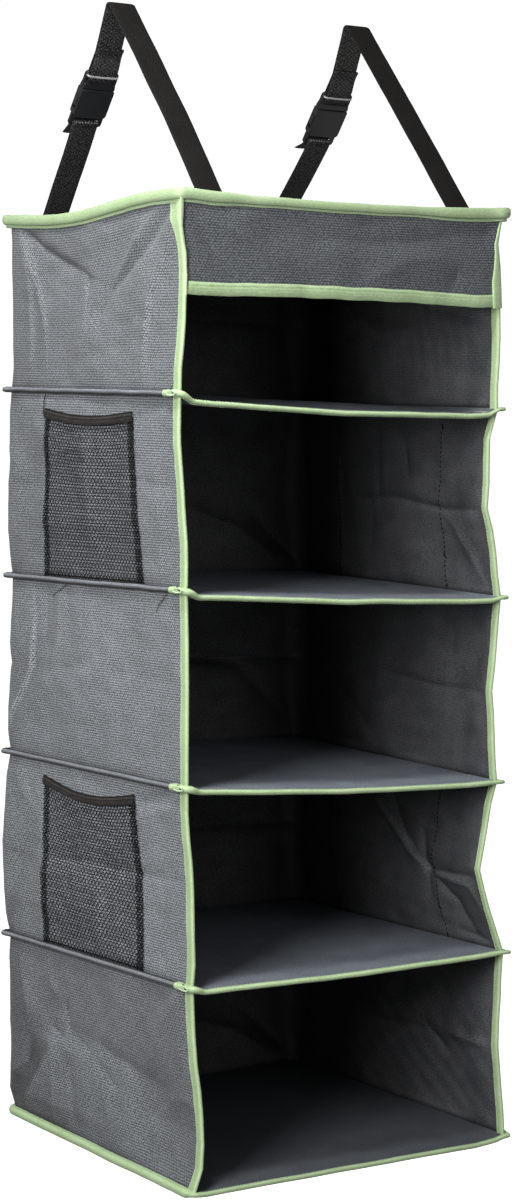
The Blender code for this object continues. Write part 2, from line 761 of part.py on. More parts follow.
def make_plug(label, frame):
    """The plug half: a ladder of three bars, a thick base at the mouth and a guide tongue."""
    w = SOCKET_HALF_WIDTH
    ladder = plate(CLEARANCE, PLUG_FRAME_LENGTH, w, w, (MOUTH_CORNER, LADDER_CORNER))
    plug = add_piece(f"{label}_plug", block(ladder, BAR_HALF_THICKNESS, BAR_EDGE), BUCKLE_BLACK, frame)
    base = plate(CLEARANCE, PLUG_BASE_DEPTH, w, w - MOUTH_CORNER, (MOUTH_CORNER, MOUTH_CORNER))
    add_cutter(f"{label}_plug_base", block(base, PLUG_BASE_HALF_THICKNESS, BUCKLE_EDGE), plug, "UNION")
    width = TONGUE_HALF_WIDTH
    tongue = plate(-TONGUE_LENGTH, PLUG_BASE_DEPTH / 2, width, width, (width / 2, 0))
    add_cutter(f"{label}_plug_tongue", block(tongue, BAR_HALF_THICKNESS, BAR_EDGE), plug, "UNION")
    first = PLUG_BASE_DEPTH
    second = first + PLUG_LOWER_SLOT + BAR_DEPTH
    cut_webbing_slot(f"{label}_plug_lower_slot", plug, first, first + PLUG_LOWER_SLOT)
    cut_webbing_slot(f"{label}_plug_upper_slot", plug, second, second + PLUG_UPPER_SLOT)


def arm_outline():
    """A slim beam that ends in a wide pad with a square catch at its top and a rounded toe."""
    half = ARM_BEAM / 2
    inner = SOCKET_HALF_WIDTH - SOCKET_SIDE_WALL - ARM_SIDE_PLAY - ARM_PIVOT_HALF_SPACING
    proud = SOCKET_HALF_WIDTH + ARM_PAD_PROUD - ARM_PIVOT_HALF_SPACING
    top = WINDOW_TOP + ARM_SIDE_PLAY
    low = WINDOW_TOP + WINDOW_LENGTH - ARM_SIDE_PLAY
    return (
        (-half, 0.0),
        (half, 0.0),
        (half + ARM_EDGE, -top + ARM_EDGE),
        (proud - ARM_EDGE, -top),
        (proud, -top - ARM_BEAM),
        (proud - ARM_EDGE, -low + ARM_BEAM),
        (inner, -low),
        (half / 2, -ARM_LENGTH),
        (0.0, -low + ARM_BEAM),
        (-half + ARM_EDGE, -top),
    )


def make_arm(label, side, frame):
    """A springy arm with the pad that is pressed in the window. Its origin is the bend at its root."""
    half = SOCKET_HALF_THICKNESS - SOCKET_FACE_WALL - ARM_SIDE_PLAY
    solid = block([Vector((side * x, y)) for x, y in arm_outline()], half, ARM_EDGE)
    name = f"{label}_arm_{'left' if side < 0 else 'right'}"
    place = (side * ARM_PIVOT_HALF_SPACING, CLEARANCE - ARM_ROOT_GAP, 0)
    limit_press(add_piece(name, solid, BUCKLE_BLACK, frame, place), side)


def make_strap(label, x):
    """One strap: two lengths of webbing joined by a side release buckle on the rear leg."""
    parent = add_empty(label, (x, 0, 0))
    make_long_webbing(label, parent)
    make_rear_webbing(label, parent)
    down = leg_down()
    place = buckle_middle(MOUTH_FROM_APEX)
    up_strap = Vector((0, -down.x, -down.y))
    across = Vector((1, 0, 0))
    turn = Matrix((across, up_strap, across.cross(up_strap))).transposed()
    frame = add_empty(f"{label}_buckle_frame", (0, place.x, place.y), parent, turn)
    make_socket(f"{label}_buckle", frame)
    make_plug(f"{label}_buckle", frame)
    for side in (-1, 1):
        make_arm(f"{label}_buckle", side, frame)


# The whole object
def make_compartment(number, parent):
    make_wall(number, parent)
    for side in (-1, 1):
        make_edge_binding(number, side, parent)
        if number in POCKET_COMPARTMENTS:
            make_pocket(number, side, parent)


def main():
    clear_scene()
    top = add_empty("top_station", (0, 0, seam_z(0)))
    make_panel("top", top)
    make_top_binding(top)
    make_header(top)
    make_compartment(1, top)
    for number in range(1, COMPARTMENTS):
        station = add_empty(f"shelf_{number}_station", (0, 0, seam_z(number)))
        limit_slide(station, lift_travel(number))
        make_panel(f"shelf_{number}", station)
        make_shelf_edges(f"shelf_{number}", station)
        make_compartment(number + 1, station)
    base = add_empty("base_station", (0, 0, seam_z(COMPARTMENTS)))
    limit_slide(base, lift_travel(COMPARTMENTS))
    make_panel("base", base)
    base_tape = sweep(panel_ring(), round_profile(SHELF_BINDING_REACH, BINDING_HALF), closed=True)
    add_piece("base_binding", base_tape, GREEN, base)
    for side, label in ((-1, "strap_left"), (1, "strap_right")):
        make_strap(label, side * STRAP_SPACING / 2)
    bpy.context.view_layer.update()


main()
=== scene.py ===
"""Looks of the hanging organizer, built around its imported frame. Metres, +Z up, the open front faces -Y."""

import math

import bpy
import numpy as np
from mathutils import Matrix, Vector


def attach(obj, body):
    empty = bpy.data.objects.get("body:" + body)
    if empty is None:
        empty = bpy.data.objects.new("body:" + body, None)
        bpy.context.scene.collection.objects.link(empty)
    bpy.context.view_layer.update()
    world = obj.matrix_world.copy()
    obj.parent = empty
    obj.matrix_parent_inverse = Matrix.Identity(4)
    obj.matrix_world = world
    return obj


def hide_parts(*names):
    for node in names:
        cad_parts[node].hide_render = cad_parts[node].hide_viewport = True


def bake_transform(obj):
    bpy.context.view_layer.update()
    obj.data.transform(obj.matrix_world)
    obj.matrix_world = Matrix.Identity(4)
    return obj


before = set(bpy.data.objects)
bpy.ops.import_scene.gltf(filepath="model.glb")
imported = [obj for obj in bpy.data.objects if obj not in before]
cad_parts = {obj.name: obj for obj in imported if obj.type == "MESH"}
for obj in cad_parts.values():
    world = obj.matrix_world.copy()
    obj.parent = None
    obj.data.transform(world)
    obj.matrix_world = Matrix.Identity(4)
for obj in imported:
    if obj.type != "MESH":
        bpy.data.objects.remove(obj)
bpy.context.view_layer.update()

# Sizes shared with the solids
HALF = 0.1575
SEAMS = (-0.1728, -0.3268, -0.4868, -0.6468, -0.8068, -0.9640)
BODIES = ("top", "shelf_1", "shelf_2", "shelf_3", "shelf_4", "base")
SLEEVE_HALF = 0.0019
BINDING_HALF = 0.0028
CORNER_LOW, CORNER_MIDDLE = 0.008, 0.024
SIDE_MM = 315.0
# Each wall's height, from seam to seam
HEIGHTS = [upper - lower for upper, lower in zip(SEAMS, SEAMS[1:])]
# Thicknesses of the walls' cloth, the panels' cloth and the boards, and a wall's distance from its seams
CLOTH = 0.0007
PANEL_CLOTH = 0.0005
BOARD_THICKNESS = 0.0019
WALL_GAP = 0.0003
# The pocketed walls: how far below the seam the pocket's mouth is, its sag, and how far in front of the
# wall's middle and behind it the pocket reaches, each at the mouth and with what it gains to the bottom
POCKETS = {2: (0.0175, 0.0050, (0.0780, 0.0125), (0.0725, 0.0130)),
           4: (0.0155, 0.0085, (0.0740, 0.0085), (0.0800, 0.0065))}
# Where on a side the rows of stitches that hold a pocket run, and the size of its net and hem
POCKET_SEAMS = (-0.083, 0.084)
NET_WIDTH = 0.168
HEM_HEIGHT = 0.0085
# The meshes' two maps: the weave's place in metres, and the painted light and shade
WEAVE = "Weave"
EDGE = "Edge"
# The sides' names, and nine even places from seam to seam
WORD = {-1: "left", 1: "right"}
NINE = np.linspace(0, 1, 9)

# How the sewn edges of each panel lie off their true place, in millimetres: front left, front right,
# back right and back left corner, each as (x, y, z)
CORNERS = (
    ((-5, 0, 3.7), (-2, 0, 4), (0, 0, 2), (2, 0, 7.5)),
    ((-5.5, 0, 0), (-4.5, 0, -9), (0, 0, 0), (2, 0, 11)),
    ((0, 0, 3), (-0.5, 0, -11), (0, 0, 0), (2, 0, 4)),
    ((0.5, 0, 4), (-3.5, 0, -10.5), (-3, 0, -1), (-1, 0, 5.5)),
    ((5, 0, 2), (4, 0, 0), (-3, 0, 1), (-2, 0, 0)),
    ((4, -4, -8), (9.5, 4, -5.5), (-5, 3, 1), (2, -2, -4.5)),
)
# How far each panel's front edge hangs below its corners, in millimetres, from left to right
SAG_AT = (0.0, 0.035, 0.10, 0.5, 0.9, 0.97, 1.0)
FRONT_SAGS = (
    (0, 0, 1.4, 3.0, 2.0, 0.6, 0),
    (0, 6.5, 7.2, 9.7, 7.2, 5.5, 0),
    (0, 5.0, 5.2, 6.2, 3.8, 3.0, 0),
    (0, 3.0, 3.2, 5.2, 2.4, 0.8, 0),
    (0, 3.6, 3.6, 4.0, 1.2, 0.6, 0),
    (0, 1.2, 1.2, 2.6, 4.2, 3.0, 0),
)
SIDE_SAG_AT = (0.0, 0.15, 0.23, 0.32, 0.41, 0.50, 0.58, 0.67, 0.76, 0.84, 1.0)
TOP_SIDE_SAG = (0.0, -0.4, 0.4, 2.4, 4.4, 5.9, 6.9, 6.6, 5.4, 3.6, 0.0)
# How far the walls' front edges stand in from the line between their corners, in millimetres, at
# nine places from the upper seam to the lower one
LEFT_EDGES = (
    (0, 0.0, 3.3, 5.0, 4.5, 3.9, 2.4, 0.3, 0), (0, -0.8, -1.4, -0.6, 0, 0.2, 1.0, 0.7, 0),
    (0, 0.5, 0.8, 0.8, 0.8, 0.6, 0.3, 0.1, 0), (0, -0.3, 0.7, 2.4, 2.8, 2.3, 1.8, 2.0, 0),
    (0, 0.7, 1.6, 3.2, 6.4, 8.0, 8.6, 7.2, 0),
)
RIGHT_EDGES = (
    (0, 3.8, 1.2, 0.0, -0.8, -1.6, -1.2, 0.2, 0), (0, 8.4, 9.2, 10.1, 12.6, 7.4, 4.6, 3.0, 0),
    (0, 2.1, 3.5, 5.0, 7.3, 4.7, 3.3, 2.0, 0), (0, 6.8, 11.2, 16.4, 21.8, 18.0, 13.2, 6.8, 0),
    (0, 1.8, 2.8, 4.8, 5.9, 4.4, 2.9, 1.0, 0),
)
SEED = 7


# Numbers
def smooth(x, low=0.0, high=1.0):
    """An even step from 0 at low to 1 at high."""
    t = np.clip((np.asarray(x, float) - low) / (high - low), 0, 1)
    return t * t * (3 - 2 * t)


def bell(x, width):
    """A hump of height 1 round 0."""
    return np.exp(-((np.asarray(x, float) / width) ** 2))


def waves(x, y, scale, seed):
    """Soft seeded unevenness from -1 to 1."""
    count = 9
    rng = np.random.default_rng(SEED * 1000 + seed)
    total = np.zeros(np.broadcast(x, y).shape)
    for _ in range(count):
        angle, phase = rng.uniform(0, 2 * math.pi, 2)
        k = rng.uniform(0.5, 1.6) * 2 * math.pi / scale
        total = total + np.sin(k * (x * math.cos(angle) + y * math.sin(angle)) + phase)
    return total / math.sqrt(count * 2)


def warp(level, x, y):
    """Offset of a panel's cloth at a place: the four corners' offsets spread over the panel."""
    s = np.clip((np.asarray(x) + HALF) / (2 * HALF), 0, 1)[..., None]
    t = np.clip((np.asarray(y) + HALF) / (2 * HALF), 0, 1)[..., None]
    front_left, front_right, back_right, back_left = (np.array(c) / 1000 for c in CORNERS[level])
    moved = (1 - t) * ((1 - s) * front_left + s * front_right) + t * ((1 - s) * back_left + s * back_right)
    front = np.interp(s[..., 0], SAG_AT, FRONT_SAGS[level]) * bell(t[..., 0], 0.3)
    if level == 0:
        front = front + np.interp(t[..., 0], SIDE_SAG_AT, TOP_SIDE_SAG) * bell(s[..., 0], 0.3)
    return moved - np.stack([0 * front, 0 * front, front / 1000], -1)


def unit(vectors):
    """The same vectors, one long."""
    return vectors / np.maximum(np.linalg.norm(vectors, axis=-1, keepdims=True), 1e-12)


def run_of(path):
    """How far along a line each of its points is."""
    return np.concatenate([[0], np.cumsum(np.linalg.norm(np.diff(path, axis=0), axis=1))])


def between(at, run, values):
    """Rows of values, known at the places of run, read at other places."""
    return np.stack([np.interp(at, run, values[:, k]) for k in range(values.shape[1])], -1)


def spread(rows, columns):
    """A grid of pairs, one number from rows and one from columns."""
    return np.stack(np.broadcast_arrays(np.asarray(rows)[:, None], np.asarray(columns)[None, :]), -1)


def circle(count, radius):
    """Points round a circle, as a profile."""
    turns = np.linspace(0, 2 * math.pi, count + 1)[:-1]
    return [(math.cos(a) * radius, math.sin(a) * radius) for a in turns]


# Meshes
def piece(name, form, looks, sharp=40, edge=None):
    """An object. Its form is points, faces, a weave map and, where it has two looks, each face's look; edge
    is the painted light and shade at each point."""
    points, faces, uv, slots = (*form, None, None)[:4]
    points = np.asarray(points, float).reshape(-1, 3).tolist()
    mesh = bpy.data.meshes.new(name)
    mesh.from_pydata(points, [], [list(map(int, f)) for f in faces])
    if uv is not None:
        index = np.empty(len(mesh.loops), np.int32)
        mesh.loops.foreach_get("vertex_index", index)
        layer = mesh.uv_layers.new(name=WEAVE)
        layer.uv.foreach_set("vector", np.asarray(uv, np.float32).reshape(-1, 2)[index].ravel())
        if edge is not None:
            painted_shading = np.zeros((len(mesh.vertices), 2), np.float32)
            painted_shading[:, 0] = np.asarray(edge, np.float32).ravel()
            mesh.uv_layers.new(name=EDGE).uv.foreach_set("vector", painted_shading[index].ravel())
    for look in looks:
        mesh.materials.append(look)
    if slots is not None:
        mesh.polygons.foreach_set("material_index", np.asarray(slots, np.int32))
    mesh.shade_smooth()
    mesh.set_sharp_from_angle(angle=math.radians(sharp))
    obj = bpy.data.objects.new(name, mesh)
    bpy.context.scene.collection.objects.link(obj)
    return obj


def tie(obj, where, replaces):
    """Gives a piece its body and hides the node it replaces; for a wall's number it bakes the piece's place
    into its mesh.
    """
    if isinstance(where, str):
        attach(obj, where)
    else:
        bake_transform(obj)
    if replaces:
        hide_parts(replaces)
    return obj


def put(name, form, looks, where, replaces=None, sharp=40, edge=None):
    """A piece of the part, made and tied."""
    return tie(piece(name, form, looks, sharp, edge), where, replaces)


def grid_faces(rows, columns, wrap_rows=False, wrap_columns=False):
    """The faces between a grid's points."""
    i = np.arange(rows if wrap_rows else rows - 1)[:, None]
    j = np.arange(columns if wrap_columns else columns - 1)[None, :]
    below, beside = (i + 1) % rows * columns, (j + 1) % columns
    return np.stack([i * columns + j, i * columns + beside, below + beside, below + j], -1).reshape(-1, 4)


def tube_faces(rows, columns, closed=False):
    """The faces of a tube of so many rings, with its two ends unless it closes on itself."""
    faces = [tuple(f) for f in grid_faces(rows, columns, closed, True)]
    last = (rows - 1) * columns
    ends = [tuple(range(columns - 1, -1, -1)), tuple(range(last, last + columns))]
    return faces if closed else faces + ends


def grid_normals(points):
    """The way out of a grid's surface at each of its points."""
    return unit(np.cross(np.gradient(points, axis=0), np.gradient(points, axis=1)))


def cloth_shell(points, uv, thickness, sign=1.0):
    """A grid of cloth given its thickness: the outer face, the inner face and the rim round both. The
    grid's normals point out of it where sign is 1, and into it where sign is -1."""
    rows, columns = points.shape[:2]
    inner = points - sign * grid_normals(points) * thickness
    n = rows * columns
    flat = grid_faces(rows, columns)
    ring = np.concatenate([
        np.arange(columns), np.arange(1, rows) * columns + columns - 1,
        (rows - 1) * columns + np.arange(columns - 2, -1, -1), np.arange(rows - 2, 0, -1) * columns,
    ])
    following = np.roll(ring, -1)
    rim = np.stack([following, ring, ring + n, following + n], -1)
    faces = np.concatenate([flat, flat[:, ::-1] + n, rim])
    if sign < 0:
        faces = faces[:, ::-1]
    slots = np.repeat([0, 1, 0], [len(flat), len(flat), len(rim)])
    return np.stack([points, inner]).reshape(-1, 3), faces, np.stack([uv, uv]).reshape(-1, 2), slots


def sweep(path, outward, upward, profile, closed=False, scale=1.0):
    """A profile of (out, up) points carried along a path. Returns points, faces and a weave map."""
    path, outward, upward, profile = (np.asarray(a, float) for a in (path, outward, upward, profile))
    size = np.broadcast_to(scale, (len(path),))[:, None, None]
    points = (path[:, None] + outward[:, None] * profile[None, :, :1] * size
              + upward[:, None] * profile[None, :, 1:] * size)
    uv = spread(run_of(path), run_of(profile))
    return points.reshape(-1, 3), tube_faces(len(path), len(profile), closed), uv.reshape(-1, 2)


def joined(parts):
    """Several (points, faces, uv) as one."""
    points, faces, uvs, start = [], [], [], 0
    for p, f, u in parts:
        points.append(np.asarray(p).reshape(-1, 3))
        faces += [tuple(int(k) + start for k in g) for g in f]
        uvs.append(np.asarray(u).reshape(-1, 2))
        start += len(points[-1])
    return np.concatenate(points), faces, np.concatenate(uvs)


def tangents(path, closed=False):
    """The way along a line at each of its points."""
    path = np.asarray(path, float)
    return unit(np.roll(path, -1, 0) - np.roll(path, 1, 0) if closed else np.gradient(path, axis=0))


def resampled(path, pitch, closed=False):
    """A line's points set out again at an even pitch."""
    path = np.asarray(path, float)
    if closed:
        path = np.concatenate([path, path[:1]])
    run = run_of(path)
    at = np.linspace(0, run[-1], max(int(round(run[-1] / pitch)), 2) + 1)
    return between(at[:-1] if closed else at, run, path)


def stitches(path, normal, pitch=0.0028, share=0.72, radius=0.00022, lift=0.00012):
    """A row of sewing stitches: short threads that dip into the cloth at both ends."""
    path = np.asarray(path, float)
    run = run_of(path)
    count = int(run[-1] / pitch)
    normal = np.broadcast_to(np.asarray(normal, float), path.shape)
    middle = (np.arange(count) + 0.5) * run[-1] / count
    at_middle = between(middle, run, path)
    direction = unit(between(middle + pitch * 0.3, run, path) - between(middle - pitch * 0.3, run, path))
    up = between(middle, run, normal)
    up = unit(up - direction * (up * direction).sum(1, keepdims=True))
    side = np.cross(direction, up)
    rings = []
    for offset, height in ((-0.5, -0.6), (-0.3, 0.65), (0.3, 0.65), (0.5, -0.6)):
        centre = at_middle + direction * offset * pitch * share + up * (lift + height * radius)
        for angle in (45, 135, 225, 315):
            a = math.radians(angle)
            rings.append(centre + side * math.cos(a) * radius + up * math.sin(a) * radius)
    faces = np.array(tube_faces(4, 4))[None] + len(rings) * np.arange(count)[:, None, None]
    return np.stack(rings, 1).reshape(-1, 3), faces.reshape(-1, 4), np.zeros((count * len(rings), 2))


# Materials
class Look:
    """A Principled material with small helpers for its nodes."""

    def __init__(self, name, color, roughness, **uniform):
        self.material = bpy.data.materials.new(name)
        self.material.use_nodes = True
        self.tree = self.material.node_tree
        self.shader = self.tree.nodes["Principled BSDF"]
        self.shader.inputs["Base Color"].default_value = (*color, 1)
        self.shader.inputs["Roughness"].default_value = roughness
        for key, value in uniform.items():
            self.shader.inputs[key.replace("_", " ")].default_value = value

    def node(self, kind, *values, named=(), **settings):
        """A node, its sockets set to values or fed by other sockets, in their order or by their names."""
        made = self.tree.nodes.new("ShaderNode" + kind)
        for key, value in settings.items():
            setattr(made, key, value)
        for socket, value in (*enumerate(values), *named):
            if isinstance(value, bpy.types.NodeSocket):
                self.tree.links.new(value, made.inputs[socket])
            elif value is not None:
                made.inputs[socket].default_value = value
        return made

    def math(self, operation, *values):
        return self.node("Math", *values, operation=operation).outputs[0]

    def add(self, a, b):
        return self.math("ADD", a, b)

    def times(self, a, b):
        return self.math("MULTIPLY", a, b)

    def weave_map(self):
        """The weave's map, whole and as its two directions."""
        found = self.node("UVMap", uv_map=WEAVE)
        split = self.node("SeparateXYZ", found.outputs[0])
        return found.outputs[0], split.outputs[0], split.outputs[1]

    def noise(self, vector, scale, detail=3.0, rough=0.55, stretch=None):
        if stretch:
            vector = self.node("Mapping", vector, None, None, stretch).outputs[0]
        sizes = ("Scale", scale), ("Detail", detail), ("Roughness", rough)
        return self.node("TexNoise", vector, named=sizes).outputs["Fac"]

    def mix(self, factor, low, high):
        colors = (6, (*low, 1)), (7, (*high, 1))
        return self.node("Mix", factor, named=colors, data_type="RGBA").outputs[2]

    def set(self, name, socket):
        """Feeds one of the shader's own sockets."""
        self.tree.links.new(socket, self.shader.inputs[name])

    def bump(self, height, strength, distance):
        sizes = ("Strength", strength), ("Distance", distance), ("Height", height)
        self.set("Normal", self.node("Bump", named=sizes).outputs[0])


def woven(name, dark, light, pitch=(0.0026, 0.0021), roughness=0.85, relief=0.35, rows=0.5, dots=0.35,
          grain=0.6, mottle=0.5, edges=0.0, **uniform):
    """Woven cloth: rows of yarn with the cross yarns showing between them, staggered from row to row, uneven
    dye, slubs and grain. Edges is how strongly the mesh's painted light and shade scale its colour."""
    look = Look(name, light, roughness, **uniform)
    add, times = look.add, look.times
    vector, u, v = look.weave_map()
    turn = 2 * math.pi
    row = times(v, 1 / pitch[1])
    along = look.math("SINE", times(row, turn))
    stagger = times(look.math("FLOOR", add(row, 0.25)), math.pi)
    across = look.math("SINE", add(times(u, turn / pitch[0]), stagger))
    slubs = look.noise(vector, 300.0, 2.0, 0.6, (1.0, 4.0, 1.0))
    patches = look.noise(vector, 30.0, 4.0, 0.6)
    fine = look.noise(vector, 400.0, 1.0, 0.5, (1.0, 2.0, 1.0))
    yarn = add(times(along, rows), times(across, dots))
    height = add(times(yarn, 0.6), times(slubs, 0.5))
    shade = times(yarn, 0.5)
    for noise, share in ((slubs, grain), (fine, grain), (patches, mottle)):
        shade = add(shade, times(look.math("SUBTRACT", noise, 0.5), share * 2))
    color = look.mix(add(shade, 0.5), dark, light)
    if edges:
        # The Edge map lightens and darkens the colour: painted light and shade
        painted_shading = look.node("SeparateXYZ", look.node("UVMap", uv_map=EDGE).outputs[0]).outputs[0]
        gain = ("Scale", add(times(painted_shading, edges), 1.0))
        color = look.node("VectorMath", color, named=(gain,), operation="SCALE").outputs[0]
    look.set("Base Color", color)
    look.set("Roughness", add(times(patches, 0.14), roughness - 0.07))
    look.bump(height, relief, 0.0003)
    return look.material


# How far marks darken a plain colour
WEAR = 0.15


def plain(name, color, roughness, scale=600.0, relief=0.1, **uniform):
    """Moulded plastic, board or thread: fine grain, faint marks and a little wear."""
    look = Look(name, color, roughness, **uniform)
    where = look.node("TexCoord").outputs["Object"]
    grain = look.noise(where, scale, 3.0)
    marks = look.noise(where, scale / 14, 4.0, 0.7)
    low = tuple(c * (1 - WEAR) for c in color)
    high = tuple(min(c * (1 + 2 * WEAR) + 0.004, 1) for c in color)
    look.set("Base Color", look.mix(marks, low, high))
    look.set("Roughness", look.add(look.times(marks, 0.2), roughness - 0.1))
    look.bump(grain, relief, 0.0002)
    return look.material


OUTER = woven("outer_cloth", (0.022, 0.0245, 0.0275), (0.182, 0.197, 0.213), (0.0030, 0.0021), relief=0.6,
              rows=0.85, dots=0.7, grain=1.05, mottle=0.25, edges=0.4, Sheen_Weight=0.1)
INNER = woven("inner_coating", (0.026, 0.0265, 0.028), (0.078, 0.079, 0.085), roughness=0.6, relief=0.3,
              rows=0.35, dots=0.3, grain=0.9, mottle=0.7, edges=0.55)
# The walls' outer cloth made darker: painted shade on the header's front face
HEADER = woven("header_cloth", (0.013, 0.0145, 0.0175), (0.108, 0.119, 0.131), (0.0030, 0.0021), relief=0.6,
               rows=0.7, dots=0.6, grain=1.0, mottle=0.3, Sheen_Weight=0.1)
SHELF = woven("shelf_cloth", (0.042, 0.048, 0.058), (0.106, 0.119, 0.138), (0.0022, 0.0020), rows=0.25,
              dots=0.5, edges=1.0)
GREEN = woven("green_tape", (0.225, 0.315, 0.150), (0.375, 0.485, 0.295), (0.0013, 0.0011), 0.7, 0.4, 0.35,
              0.25, 0.5, edges=0.4)
PIPING = woven("piping_tape", (0.055, 0.060, 0.067), (0.165, 0.177, 0.193), (0.0012, 0.0012), edges=0.5)
HEM = woven("pocket_hem", (0.007, 0.0064, 0.0060), (0.028, 0.025, 0.023), (0.0030, 0.0011), edges=0.6,
            Specular_IOR_Level=0.2)
NET = plain("pocket_net", (0.004, 0.0038, 0.0038), 0.7, Specular_IOR_Level=0.08)
THREAD_GREEN = plain("green_thread", (0.42, 0.54, 0.36), 0.6)
THREAD_GREY = plain("grey_thread", (0.03, 0.031, 0.034), 0.6)
THREAD_PALE = plain("pale_thread", (0.16, 0.16, 0.165), 0.5)
THREAD_BLACK = plain("black_thread", (0.005, 0.0048, 0.0045), 0.6, Specular_IOR_Level=0.15)
WEBBING = woven("black_webbing", (0.0020, 0.0020, 0.0020), (0.044, 0.043, 0.042), (0.0032, 0.0026), 0.6,
                0.9, rows=0.35, dots=0.9, grain=1.6, mottle=0.2, Specular_IOR_Level=0.3)
WEBBING_SMOOTH = woven("black_webbing_smooth", (0.0040, 0.0037, 0.0034), (0.0105, 0.0096, 0.0087),
                       (0.0021, 0.0013), 0.6, 0.6, rows=0.3, dots=0.3, Specular_IOR_Level=0.15)
PLASTIC = plain("buckle_plastic", (0.009, 0.009, 0.010), 0.34, 900.0, 0.06)
# Pale, glossy plastic for the bar on the buckle: a painted highlight
PLASTIC_PAINTED_HIGHLIGHT = plain("buckle_bar_painted_highlight", (0.20, 0.20, 0.205), 0.22, 900.0, 0.03)
BOARD = plain("stiffener_board", (0.35, 0.33, 0.30), 0.6, 300.0)


# Folds of the walls. A fold is a line of (mm along the wall, mm below its upper seam), its height in mm
# and its width in mm on each of its two sides. The wall runs from its left front edge (0) by the back
# left corner (315) and the back right corner (630) to its right front edge (945).
def left(*points):
    """Places on the left side, as (mm from the back edge, mm below the seam)."""
    return [(SIDE_MM - a, b) for a, b in points]


FOLDS = (
    (
        (left((20, 3), (50, 15), (71, 25), (110, 38), (145, 49)), -3.2, 16, 3.2),
        (left((149, 50), (150, 62), (149, 77)), -1.5, 3, 4),
        (left((29, 20), (40, 45), (45, 66), (48, 100), (48, 138)), 2.0, 14, 4),
        (left((28, 12), (44, 38), (61, 68), (72, 94), (76, 118)), 2.4, 12, 4),
        (left((303, 10), (243, 44), (191, 69), (170, 92)), -3.6, 12, 5),
        (left((285, 6), (243, 30), (200, 58), (178, 80)), 2.6, 6, 12),
        (left((300, 22), (258, 78), (252, 107), (250, 135)), 2.4, 7, 5),
        (left((150, 78), (140, 105), (128, 137)), 2.4, 10, 34),
    ),
    (
        (left((0, 45), (22, 62)), 1.2, 6, 6),
        (left((230, 70), (255, 74), (312, 78)), -0.9, 5, 5),
        (left((240, 20), (300, 8)), -1.0, 7, 7),
        (left((150, 30), (160, 140)), 1.8, 25, 18),
        (left((270, 30), (276, 140)), 1.4, 14, 14),
    ),
    (
        (left((-6, 80), (14, 78)), -2.2, 4, 5),
        (left((95, 4), (96, 62)), 1.4, 6, 7),
        (left((74, 4), (72, 50)), -1.2, 6, 7),
        (left((80, 80), (125, 76), (175, 60)), -1.2, 10, 7),
        (left((112, 6), (116, 50)), -0.9, 6, 7),
        (left((200, 74), (312, 78)), -0.7, 5, 5),
        (left((180, 80), (190, 140)), 1.3, 26, 26),
    ),
    (
        (left((80, 82), (150, 79), (230, 78), (304, 76)), -1.8, 5, 6),
        (left((242, 18), (268, 12), (300, 2)), -2.6, 7, 6),
        (left((240, 30), (304, 16)), 1.2, 8, 8),
        (left((160, 100), (165, 140)), 1.6, 28, 24),
    ),
    (
        (left((104, 66), (105, 49)), -3.4, 3, 4),
        (left((76, 70), (94, 76)), -2.0, 3, 3),
        (left((108, 67), (145, 83), (182, 101)), -1.5, 9, 4),
        (left((110, 66), (160, 72), (212, 81), (280, 91)), -2.6, 26, 8),
        (left((78, 90), (77, 118), (76, 147)), 1.8, 5, 8),
        (left((109, 74), (104, 95)), 2.0, 4, 5),
        (left((106, 88), (108, 138)), -1.4, 6, 6),
        (left((298, 5), (257, 50), (235, 75)), 3.2, 16, 16),
        (left((236, 112), (300, 112)), -2.2, 20, 18),
        (left((263, 93), (313, 87)), 1.6, 6, 6),
        (left((92, 42), (78, 30)), 1.4, 5, 5),
    ),
)
